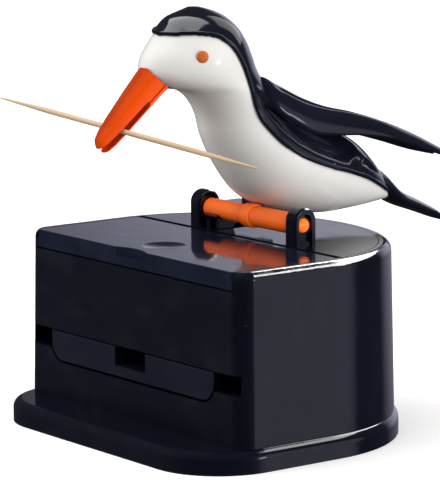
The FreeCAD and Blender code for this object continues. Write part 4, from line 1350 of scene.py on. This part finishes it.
@dataclass
class Beak:
    """Eight-sided beak in two sprung jaws, with a slot that holds a pick."""

    root: Pair = (-32.6, 74.6)
    tip: Pair = (-45.6, 63.0)
    # distance from the root, top, bottom and half width
    stations: tuple[tuple[float, float, float, float], ...] = (
        (-5.0, 3.8, -3.6, 3.9), (0.0, 3.4, -3.0, 3.65), (4.5, 3.0, -2.9, 3.4),
        (9.0, 2.5, -2.8, 3.05), (13.0, 2.05, -2.75, 2.6), (15.8, 1.6, -2.6, 2.0),
        (17.4, 0.9, -2.2, 1.3), (18.0, 0.1, -1.6, 0.6))
    corners: tuple[Pair, ...] = (
        (0.42, 1.0), (1.0, 0.40), (1.0, -0.45), (0.50, -1.0),
        (-0.50, -1.0), (-1.0, -0.45), (-1.0, 0.40), (-0.42, 1.0))
    corner_reach: Pair = (0.16, 0.06)        # shares of a side that a rounded corner takes
    corner_ease: float = 0.035               # how far its middle is drawn in
    rings: int = 47
    gap: float = 0.4                         # room between the jaws and the head
    head_rings: int = 70
    slot_start: float = 3.9
    slot_slope: float = 0.5
    slot_high: float = -0.46
    slot_low: float = -1.88
    upper_parting: float = -0.9              # behind the slot, where the upper jaw ends
    lower_parting: float = -1.25             # and where the lower jaw begins
    room: tuple[float, float, float, float] = (-9.0, 25.0, 12.0, 9.0)   # back, end, height, half

    def place(self, x: float, s: float, n: float) -> Vector:
        """Turn a place in the beak's own frame into a point in space.

        Args:
            x: place along X.
            s: distance from the root towards the tip.
            n: height square to that way.

        Returns:
            The point.
        """
        run = Vector((0, self.tip[0] - self.root[0], self.tip[1] - self.root[1])).normalized()
        return Vector((x, *self.root)) + run * s + Vector((0, run.z, -run.y)) * n

    def prism_at(self, outline: Sequence[Pair], half: float) -> Form:
        """Make a prism along X in the beak's own frame.

        Args:
            outline: its corners as (s, n) pairs.
            half: how far it reaches on each side.

        Returns:
            A closed form.
        """
        points = [self.place(0, s, n) for s, n in outline]
        return Form().prism([(point.y, point.z) for point in points], half)

    def _octagon(self, s: float, top: float, bottom: float, width: float) -> list[Vector]:
        """Draw a section of eight flats with eased corners, a little narrower above and below.

        Args:
            s: distance from the root.
            top: its upper side.
            bottom: its lower side.
            width: its half width.

        Returns:
            The points round it.
        """
        middle, tall = (top + bottom) / 2, (top - bottom) / 2
        far, near = self.corner_reach
        drawn_in = 1.0 - self.corner_ease
        points = []
        for i, corner in enumerate(self.corners):
            before, after = self.corners[i - 1], self.corners[(i + 1) % len(self.corners)]
            for other, share, ease in ((before, far, 1.0), (before, near, drawn_in),
                                       (after, near, drawn_in), (after, far, 1.0)):
                x = corner[0] + (other[0] - corner[0]) * share
                n = corner[1] + (other[1] - corner[1]) * share
                points.append(self.place(x * ease * width, s, middle + n * ease * tall))
        return points

    def _beyond(self, parting: float, slot: float, side: int) -> Form:
        """Fill the room on one side of the parting, to cut the other jaw off.

        Args:
            parting: where the cut runs behind the slot.
            slot: where it runs along the slot.
            side: 1 for the room above and -1 for the room below.

        Returns:
            A closed form.
        """
        back, end, height, half = self.room
        far = side * height
        return self.prism_at(((back, parting), (self.slot_start, parting),
                              (self.slot_start + self.slot_slope, slot), (end, slot),
                              (end, far), (back, far)), half)

    def build(self, paint: Paint, body: BirdBody) -> None:
        """Make the two jaws.

        Args:
            paint: the finishes.
            body: the bird, whose head the jaws stand off.
        """
        track = Track([s for s, *_ in self.stations], [row[1:] for row in self.stations])
        lower = Form().loft([self._octagon(s, *track.at(s)) for s in track.spread(self.rings)])
        lower.work(body.skin(body.sections, self.gap, self.head_rings), Cut.TAKE)
        upper = lower.copy()
        upper.work(self._beyond(self.upper_parting, self.slot_high, -1), Cut.TAKE)
        for rod in HeldPick().swing():
            upper.work(rod, Cut.TAKE)
        lower.work(self._beyond(self.lower_parting, self.slot_low, 1), Cut.TAKE)
        upper.publish("jaw_upper", Body.UPPER_BEAK, Slot.BEAK, paint, "upper_jaw",
                      crease=20.0)
        lower.publish("jaw_lower", Body.LOWER_BEAK, Slot.MOUTH, paint, "lower_jaw",
                      crease=20.0)


# ------------------------------------------------------------------ picks
@dataclass
class Pick:
    """Round toothpick with two tapered ends, whose grain runs along it."""

    length: float = 65.0
    radius: float = 0.57
    taper: float = 13.0
    taper_power: float = 0.85                # below 1 the taper bulges
    taper_stops: tuple[float, ...] = (0.2, 0.4, 0.6, 0.8)
    shoulder: tuple[Pair, ...] = ((0.4, 0.995), (2.0, 1.0))    # past the taper, shares of radius
    end_radius: float = 0.15
    end_round: Pair = (0.12, 0.4)            # length of an end's rounding and share of its radius
    sides: int = 14
    grain_shift: Triple = (3.1, 1.7, 23.0)   # how far one pick's grain lies from the next one's

    def _profile(self) -> list[Pair]:
        """Draw half of the pick's outline and mirror it.

        Returns:
            Distances along the pick, each with a radius.
        """
        grown = self.radius - self.end_radius
        length, share = self.end_round
        half = [(0.0, self.end_radius * share), (length, self.end_radius)]
        half += [(self.taper * t, self.end_radius + grown * t ** self.taper_power)
                 for t in self.taper_stops]
        half += [(self.taper + ahead, self.radius * part) for ahead, part in self.shoulder]
        return half + [(self.length - along, radius) for along, radius in reversed(half)]

    def form(self, start: Vector, axis: Vector, seed: int) -> Form:
        """Draw the pick.

        Args:
            start: its first end.
            axis: the way it points.
            seed: a number that sets its grain apart from its neighbours'.

        Returns:
            The form, with its own grain coordinates.
        """
        turn = tilt(axis.normalized())
        form = Form().loft([[start + turn @ point for point in hoop(radius, along, self.sides)]
                            for along, radius in self._profile()])
        grain = form.mesh.verts.layers.float_vector.new(GRAIN)
        back = turn.transposed()
        shift = Vector([seed * step for step in self.grain_shift])
        for vertex in form.mesh.verts:
            vertex[grain] = (back @ (vertex.co - start) + shift) * MM
        return form


@dataclass
class HeldPick:
    """The pick that the beak carries, which hangs a little askew while the bird stands."""

    point: Triple = (2.2, -40.815, 65.624)
    direction: Triple = (0.930, 0.332, -0.159)
    back: float = 32.0                       # from that point to its first end
    play: float = 0.12
    swing_steps: int = 5
    swing_reach: Pair = (12.0, 8.0)          # of the room it swivels in, to both sides

    def swing(self) -> list[Form]:
        """Fill the room that the pick needs as it swivels level with the beak.

        Returns:
            One rod for each step of the swivel.
        """
        axis = Vector(self.direction).normalized()
        level = Vector((1, 0, 0))
        place = Vector(self.point)
        behind, ahead = self.swing_reach
        rods = []
        for i in range(self.swing_steps):
            way = axis.slerp(level, i / (self.swing_steps - 1)) if i else axis
            rods.append(Form().rod(place - way * behind, place + way * ahead,
                                   Pick().radius + self.play, steps=24))
        return rods

    def build(self, paint: Paint) -> None:
        """Make the carried pick.

        Args:
            paint: the finishes.
        """
        axis = Vector(self.direction).normalized()
        pick = Pick().form(Vector(self.point) - axis * self.back, axis, seed=1)
        pick.publish("pick_in_beak", Body.PICK, Slot.PICK, paint, "held_pick")


@dataclass
class Hopper:
    """Picks that wait on the chute in two layers."""

    front: Pair = (-33.9, 19.4)
    knee: Pair = (-15.4, 30.4)
    rows: tuple[int, ...] = (13, 12)         # picks in each layer
    pitch: float = 1.55
    start: float = 0.9
    clearance: float = 0.06                  # between the lower layer and the chute
    first_seed: int = 2
    layer_seeds: int = 20                    # seeds kept for each layer

    def build(self, paint: Paint) -> None:
        """Make the waiting picks as one piece.

        Args:
            paint: the finishes.
        """
        pick = Pick()
        slope = math.atan2(self.knee[1] - self.front[1], self.knee[0] - self.front[0])
        stock = Form()
        stock.mesh.verts.layers.float_vector.new(GRAIN)
        for layer, count in enumerate(self.rows):
            height = pick.radius + self.clearance + layer * self.pitch * math.sin(math.pi / 3)
            for i in range(count):
                along = self.start + (i + layer / 2) * self.pitch
                y = self.front[0] + along * math.cos(slope) - height * math.sin(slope)
                z = self.front[1] + along * math.sin(slope) + height * math.cos(slope)
                one = pick.form(Vector((-pick.length / 2, y, z)), Vector((1, 0, 0)),
                                self.first_seed + i + layer * self.layer_seeds)
                data = bpy.data.meshes.new("one_pick")
                one.mesh.to_mesh(data)
                stock.mesh.from_mesh(data)
                one.mesh.free()
                bpy.data.meshes.remove(data)
        stock.publish("waiting_picks", Body.HOUSING, Slot.PICK, paint, "toothpick_stock")


# ------------------------------------------------------------------ perch
@dataclass
class Perch:
    """Orange perch: a bar on the left, a collar in the middle and a loose sleeve on the right."""

    line: Pair = (-6.3, 44.5)                # its axis (y, z)
    journal: float = 1.6
    journal_round: float = 0.9
    left_bar: float = 2.12
    right_bar: float = 2.25
    collar: float = 2.62
    collar_x: float = -1.6
    collar_width: float = 3.2
    inner: float = 15.0
    outer: float = 18.25
    bar_round: Pair = (0.5, 0.2)
    collar_round: float = 0.5
    sleeve_round: float = 0.25
    bar_play: Pair = (0.1, 0.05)             # room to the bracket and to the collar
    sleeve_play: Pair = (0.1, 0.12)          # room to the collar and to the bracket
    sleeve_slip: float = 0.06                # room round the axle
    collar_press: float = 0.01               # how tightly the collar sits on it
    round_steps: int = 5

    def _corner(self, x: float, radius: float, ease: float) -> list[Pair]:
        """Draw a rounded corner.

        Args:
            x: where the end face stands.
            radius: radius of the skin.
            ease: radius of the rounding, negative at an end that faces -X.

        Returns:
            Points of (x, radius) from the skin to the end face.
        """
        points = []
        for k in range(self.round_steps + 1):
            turn = math.pi / 2 * k / self.round_steps
            points.append((x - ease * (1 - math.sin(turn)),
                           radius - abs(ease) * (1 - math.cos(turn))))
        return points

    def _rounded(self, x: Pair, radius: float, ease: Pair) -> list[Pair]:
        """Draw the outline of a disc or bar with two rounded ends.

        Args:
            x: where it starts and ends.
            radius: its radius.
            ease: how far each end is rounded.

        Returns:
            Points of (x, radius) from end to end.
        """
        return (self._corner(x[0], radius, -ease[0])[::-1]
                + self._corner(x[1], radius, ease[1]))

    def _solid(self, profile: list[Pair]) -> Form:
        """Turn a profile whose two ends close on the axis."""
        ends = [(profile[0][0], 0.0), *profile, (profile[-1][0], 0.0)]
        return Form().lathe(ends, *self.line)

    def _tube(self, profile: list[Pair], bore: float) -> Form:
        """Turn a profile that closes round a bore."""
        hollow = [(profile[0][0], bore), *profile, (profile[-1][0], bore), (profile[0][0], bore)]
        return Form().lathe(hollow, *self.line)

    def build(self, paint: Paint) -> None:
        """Make the axle with its bar, the collar and the sleeve.

        Args:
            paint: the finishes.
        """
        collar_end = self.collar_x + self.collar_width
        axle = self._solid(self._rounded((-self.outer, self.outer), self.journal,
                                         (self.journal_round, self.journal_round)))
        bar = self._solid(self._rounded((self.bar_play[0] - self.inner,
                                         self.collar_x - self.bar_play[1]),
                                        self.left_bar, self.bar_round))
        axle.work(bar, Cut.JOIN)
        axle.publish("perch_bar", Body.BIRD, Slot.PERCH, paint, "perch_axle")
        collar = self._tube(self._rounded((self.collar_x, collar_end), self.collar,
                                          (self.collar_round, self.collar_round)),
                            self.journal - self.collar_press)
        collar.publish("perch_ring", Body.BIRD, Slot.PERCH, paint, "perch_collar")
        sleeve = self._tube(self._rounded((collar_end + self.sleeve_play[0],
                                           self.inner - self.sleeve_play[1]),
                                          self.right_bar, (self.sleeve_round, self.sleeve_round)),
                            self.journal + self.sleeve_slip)
        sleeve.publish("perch_tube", Body.SLEEVE, Slot.PERCH, paint, "perch_sleeve")


# ------------------------------------------------------------------ lid
@dataclass
class Lid:
    """Front lid with a scoop in its edge, a shallow thumb rest and a hinge bead."""

    side: float = 35.1
    front: float = -38.0
    top: float = 40.5
    plate: float = 2.1
    corner: float = 1.1
    edge: float = 0.22                       # rounding of the plate's upper edges
    skirt: float = 36.6
    skirt_round: float = 0.3
    hinge: Pair = (-11.6, 39.05)
    bead: float = 1.42
    bead_play: float = 0.3
    bores: tuple[Pair, ...] = ((-36.0, -31.0), (31.0, 36.0))    # of the hinge pins, along X
    bore: float = 0.75
    ribs: Pair = (-22.0, 22.0)
    rib_half: float = 0.6
    rib_run: Pair = (-30.0, -18.0)
    rib_drop: float = 1.2
    scoop_half: float = 5.6
    scoop_depth: float = 1.4
    scoop_reach: Pair = (1.9, 2.0)           # of the scoop's cut below and above the top
    thumb: Triple = (4.7, -29.4, 0.45)       # radius, y and depth of the thumb rest
    thumb_rings: int = 8
    thumb_steps: int = 96
    thumb_over: float = 1.6                  # height of the ball's cap, in depths
    lip_overlap: float = 0.5
    rib_overlap: float = 0.2
    touch: float = 0.01                      # how close to a plane counts as on it

    def build(self, paint: Paint) -> None:
        """Make the lid.

        Args:
            paint: the finishes.
        """
        low = self.top - self.plate
        cover = Form().block((-self.side, self.side), (self.front, self.hinge[0]),
                             (low, self.top))
        cover.bevel(self.corner, segments=6, degrees=40.0, test=self._front_corner)
        lip = Form().block((-self.side, self.side), (self.front, self.front + self.plate),
                           (self.skirt, low + self.lip_overlap))
        lip.bevel(self.skirt_round, segments=3, degrees=40.0)
        cover.work(lip, Cut.JOIN)
        span = (self.bead_play - self.side, self.side - self.bead_play)
        cover.work(Form().cross_rod(span, self.hinge, self.bead, steps=48), Cut.JOIN)
        for x in self.ribs:
            rib = Form().block((x - self.rib_half, x + self.rib_half), self.rib_run,
                               (low - self.rib_drop, low + self.rib_overlap))
            cover.work(rib, Cut.JOIN)
        cover.work(self._scoop(), Cut.TAKE)
        for bore in self.bores:
            cover.work(Form().cross_rod(bore, self.hinge, self.bore, steps=24), Cut.TAKE)
        cover.tidy()
        cover.bevel(self.edge, segments=3, degrees=50.0, test=self._outer_edge)
        cover.work(self._thumb_ball(), Cut.TAKE)
        cover.publish("lid_cover", Body.LID, Slot.LID, paint, "lid", crease=30.0, flats=True)

    def _front_corner(self, edge: bmesh.types.BMEdge) -> bool:
        """Whether an edge is one of the two upright front corners."""
        a, b = (vertex.co for vertex in edge.verts)
        return abs(a.z - b.z) > 1 and max(a.y, b.y) < self.front + self.touch

    def _outer_edge(self, edge: bmesh.types.BMEdge) -> bool:
        """Whether an edge lies round the top of the plate."""
        return all(vertex.co.z > self.top - self.touch for vertex in edge.verts)

    def _scoop(self) -> Form:
        """Make the round bar that cuts the finger scoop into the front edge.

        Returns:
            A closed form.
        """
        wide = (self.scoop_half ** 2 + self.scoop_depth ** 2) / 2 / self.scoop_depth
        centre = Vector((0, self.front - wide + self.scoop_depth, self.top))
        below, above = self.scoop_reach
        return Form().rod(centre - Vector((0, 0, below)), centre + Vector((0, 0, above)), wide,
                          steps=192)

    def _thumb_ball(self) -> Form:
        """Make the cap of a wide ball that presses the thumb rest.

        Returns:
            A closed form.
        """
        radius, y, depth = self.thumb
        ball = (radius ** 2 + depth ** 2) / 2 / depth
        rings = []
        for k in range(1, self.thumb_rings + 1):
            rise = depth * self.thumb_over * (k / self.thumb_rings) ** 2
            reach = math.sqrt(2 * ball * rise - rise * rise)
            rings.append([Vector((reach * math.cos(t), y + reach * math.sin(t),
                                  self.top - depth + rise))
                          for t in turns(self.thumb_steps)])
        return Form().loft(rings)


# ------------------------------------------------------------------ stage
def heading(azimuth: float, height: float) -> Vector:
    """Work out a direction.

    Args:
        azimuth: its angle from +X, in degrees.
        height: its height angle, in degrees.

    Returns:
        A vector of length 1.
    """
    turn, lift = math.radians(azimuth), math.radians(height)
    level = math.cos(lift)
    return Vector((math.cos(turn) * level, math.sin(turn) * level, math.sin(lift)))


@dataclass(frozen=True)
class Softbox:
    """Rectangular light that flags keep off all but its own pieces. Sizes are metres."""

    name: str
    azimuth: float
    height: float              # its height angle
    size: Pair
    radiance: float
    pieces: tuple[str, ...]    # what it falls on
    gloss: bool = True         # shows in the gloss, or else lights the colour under it
    shadows: bool = True       # off for light that comes off the floor
    distance: float = 0.80

    def hang(self, aim: Vector) -> None:
        """Hang it up.

        Args:
            aim: the place it is turned to.
        """
        data = bpy.data.lights.new(self.name, "AREA")
        data.shape = "RECTANGLE"
        data.size, data.size_y = self.size
        data.energy = self.radiance * math.pi * self.size[0] * self.size[1]
        data.use_shadow = self.shadows
        way = heading(self.azimuth, self.height)
        lamp = bpy.data.objects.new(self.name, data)
        lamp.location = aim + way * self.distance
        lamp.rotation_euler = way.to_track_quat("Z", "Y").to_euler()
        lamp.visible_diffuse = not self.gloss
        lamp.visible_glossy = self.gloss
        bpy.context.scene.collection.objects.link(lamp)

    def flag(self) -> None:
        """Keep it off all but its own pieces, once the model stands."""
        lit = bpy.data.collections.new(self.name + "_falls_on")
        for piece in self.pieces:
            lit.objects.link(bpy.data.objects[piece])
        bpy.data.objects[self.name].light_linking.receiver_collection = lit


@dataclass(frozen=True)
class Studio:
    """Camera, pale floor, daylight, panels in the reflections and softboxes. Sizes are metres."""

    eye: Triple = (0.533888, -0.411768, 0.150829)
    right: Triple = (0.597794, 0.801603, -0.008657)
    up: Triple = (-0.127522, 0.105750, 0.986182)
    focal_px: float = 3191.44
    frame_px: float = 488.0
    sensor_mm: float = 36.0
    clip: Pair = (0.01, 20.0)
    backdrop: Triple = (1.0, 1.0, 1.0)
    day: Triple = (1.0, 0.985, 0.97)
    sky: float = 1.35                        # light from straight above
    sky_focus: float = 2.0                   # how sharply it falls off towards the horizon
    ground: float = 0.18                     # light that the floor throws back
    shade: float = 0.04                      # light from every way
    # wide lights from the sides: azimuth, height angle and strength
    sides: tuple[Triple, ...] = ((26.0, 0.0, 4.5), (213.0, 0.0, 2.7), (242.0, 42.0, 2.8))
    side_focus: float = 7.0                  # how sharply a side light falls off
    gleam: Triple = (0.80, 0.80, 1.0)        # colour of the reflected room
    room: Pair = (0.02, 0.07)                # its strength straight below and above
    # panels in the reflections: azimuth, inner and outer half angle, strength, foot
    panels: tuple[tuple[float, float, float, float, float], ...] = (
        (41.0, 12.0, 24.0, 0.50, -2.0), (28.0, 3.0, 6.0, 5.0, -2.0),
        (122.5, 13.0, 30.0, 0.86, -0.35))
    panel_top: Pair = (0.75, 0.35)           # heights between which a panel fades out above
    panel_foot: float = 0.45                 # height over which it fades in at its foot
    floor_half: float = 1.5
    floor_pale: Triple = (0.90, 0.90, 0.90)
    floor_grey: Triple = (0.87, 0.87, 0.875)
    floor_cloud_mm: float = 120.0
    floor_roughness: Pair = (0.55, 0.7)
    floor_glow: float = 0.3                  # light of the table under the floor sheet
    aim: Triple = (0.0, 0.0, 0.06)           # what the softboxes are turned to
    softboxes: tuple[Softbox, ...] = (
        Softbox("box_edge", 88.0, 38.0, (1.30, 0.34), 16.0,
                ("body_shell", "rear_deck", "right_bracket", "left_bracket")),
        Softbox("base_edge", 76.0, 48.0, (0.55, 0.16), 5.0, ("base_plate",)),
        Softbox("crown", 200.0, 74.0, (0.62, 1.05), 3.4, ("black_back",)),
        Softbox("crown_side", 100.0, 34.0, (0.45, 0.60), 1.2, ("black_back",)),
        Softbox("beak_side", 118.0, -24.0, (0.60, 0.45), 0.5, ("jaw_upper", "jaw_lower"),
                shadows=False),
        Softbox("warm_fill", 348.0, -3.0, (0.50, 0.50), 12.0,
                ("jaw_upper", "jaw_lower", "perch_bar", "perch_ring", "perch_tube"),
                gloss=False))

    def camera(self) -> None:
        """Place the camera."""
        data = bpy.data.cameras.new("camera")
        data.sensor_width = self.sensor_mm
        data.lens = self.focal_px * self.sensor_mm / self.frame_px
        data.clip_start, data.clip_end = self.clip
        right, up = Vector(self.right).normalized(), Vector(self.up).normalized()
        back = right.cross(up)
        matrix = Matrix((right, up, back)).transposed().to_4x4()
        matrix.translation = Vector(self.eye)
        camera = bpy.data.objects.new("camera", data)
        camera.matrix_world = matrix
        bpy.context.scene.collection.objects.link(camera)
        bpy.context.scene.camera = camera

    def flag(self) -> None:
        """Keep each softbox off all but its own pieces, once the model stands."""
        for softbox in self.softboxes:
            softbox.flag()

    def _room(self, x: Wire, y: Wire, z: Wire) -> Wire:
        """Draw what the gloss reflects: a dark room with a few soft panels.

        Args:
            x: the direction's share along X.
            y: its share along Y.
            z: its share along Z.

        Returns:
            The strength of the light from there.
        """
        room = z.band(-1.0, 1.0, *self.room)
        for azimuth, inner, outer, strength, foot in self.panels:
            turn = math.radians(azimuth)
            toward = x * math.cos(turn) + y * math.sin(turn)
            edge = toward.band(math.cos(math.radians(outer)), math.cos(math.radians(inner)))
            room = room + (edge * z.band(*self.panel_top) * z.band(foot, foot + self.panel_foot)
                           * strength)
        return room

    def _daylight(self, x: Wire, y: Wire, z: Wire) -> Wire:
        """Draw what lights the matt surfaces: sky, floor and wide lights from the sides.

        Args:
            x: the direction's share along X.
            y: its share along Y.
            z: its share along Z.

        Returns:
            The strength of the light from there.
        """
        soft = z.clamped() ** self.sky_focus * self.sky
        soft = soft + (0.0 - z).clamped() * self.ground + self.shade
        for azimuth, height, strength in self.sides:
            way = heading(azimuth, height)
            toward = (x * way.x + y * way.y + z * way.z).clamped()
            soft = soft + toward ** self.side_focus * strength
        return soft

    def world(self) -> None:
        """Close the scene in a white backdrop, daylight and a dark reflected room."""
        world = bpy.data.worlds.new("studio")
        world.use_nodes = True
        tree = Tree(world.node_tree)
        path = tree.node("ShaderNodeLightPath")
        way = tree.wire(tree.node("ShaderNodeTexCoord"), "Generated")
        parts = tree.node("ShaderNodeSeparateXYZ", None, {0: way})
        x, y, z = (tree.wire(parts, axis) for axis in "XYZ")
        seen, lit, mirrored = (
            tree.wire(tree.node("ShaderNodeBackground", None,
                                {"Color": (*colour, 1.0), "Strength": strength}))
            for colour, strength in ((self.backdrop, 1.0), (self.day, self._daylight(x, y, z)),
                                     (self.gleam, self._room(x, y, z))))
        for ray, shown in (("Is Glossy Ray", mirrored), ("Is Camera Ray", seen)):
            lit = tree.wire(tree.node("ShaderNodeMixShader", None,
                                      {0: tree.wire(path, ray), 1: lit, 2: shown}))
        tree.node("ShaderNodeOutputWorld", None, {"Surface": lit})
        bpy.context.scene.world = world

    def floor(self) -> None:
        """Lay the pale floor."""
        form = bmesh.new()
        bmesh.ops.create_grid(form, x_segments=1, y_segments=1, size=self.floor_half)
        data = bpy.data.meshes.new("floor")
        form.to_mesh(data)
        form.free()
        shader = Shader("floor_paint")
        clouds = shader.noise(shader.place(), size_mm=self.floor_cloud_mm)
        base = shader.blend(clouds, self.floor_pale, self.floor_grey)
        data.materials.append(shader.finish(
            {"Base Color": base, "Roughness": clouds.band(0, 1, *self.floor_roughness),
             "Emission Color": (*self.backdrop, 1.0), "Emission Strength": self.floor_glow}))
        floor = bpy.data.objects.new("floor", data)
        bpy.context.scene.collection.objects.link(floor)
        floor.visible_glossy = False
        floor.visible_diffuse = False
        floor.visible_shadow = False

    def build(self) -> None:
        """Set up the whole studio."""
        bpy.context.scene.view_settings.view_transform = "Standard"
        self.camera()
        self.world()
        self.floor()
        for softbox in self.softboxes:
            softbox.hang(Vector(self.aim))


def clear_scene() -> None:
    """Remove the default cube, lamp and camera."""
    for name in ("Cube", "Light", "Camera"):
        spare = bpy.data.objects.get(name)
        if spare is not None:
            bpy.data.objects.remove(spare)


def main() -> None:
    """Build the model over its frame."""
    logging.basicConfig(level=logging.INFO, format="%(name)s: %(message)s")
    clear_scene()
    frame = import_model()
    studio = Studio()
    studio.build()
    paint = Paint()
    paint.dress_frame(frame["nodes"])
    body = BirdBody()
    body.build(paint)
    Wing().build(paint)
    Beak().build(paint, body)
    HeldPick().build(paint)
    Hopper().build(paint)
    Perch().build(paint)
    Lid().build(paint)
    studio.flag()


if __name__ == "__main__":
    main()
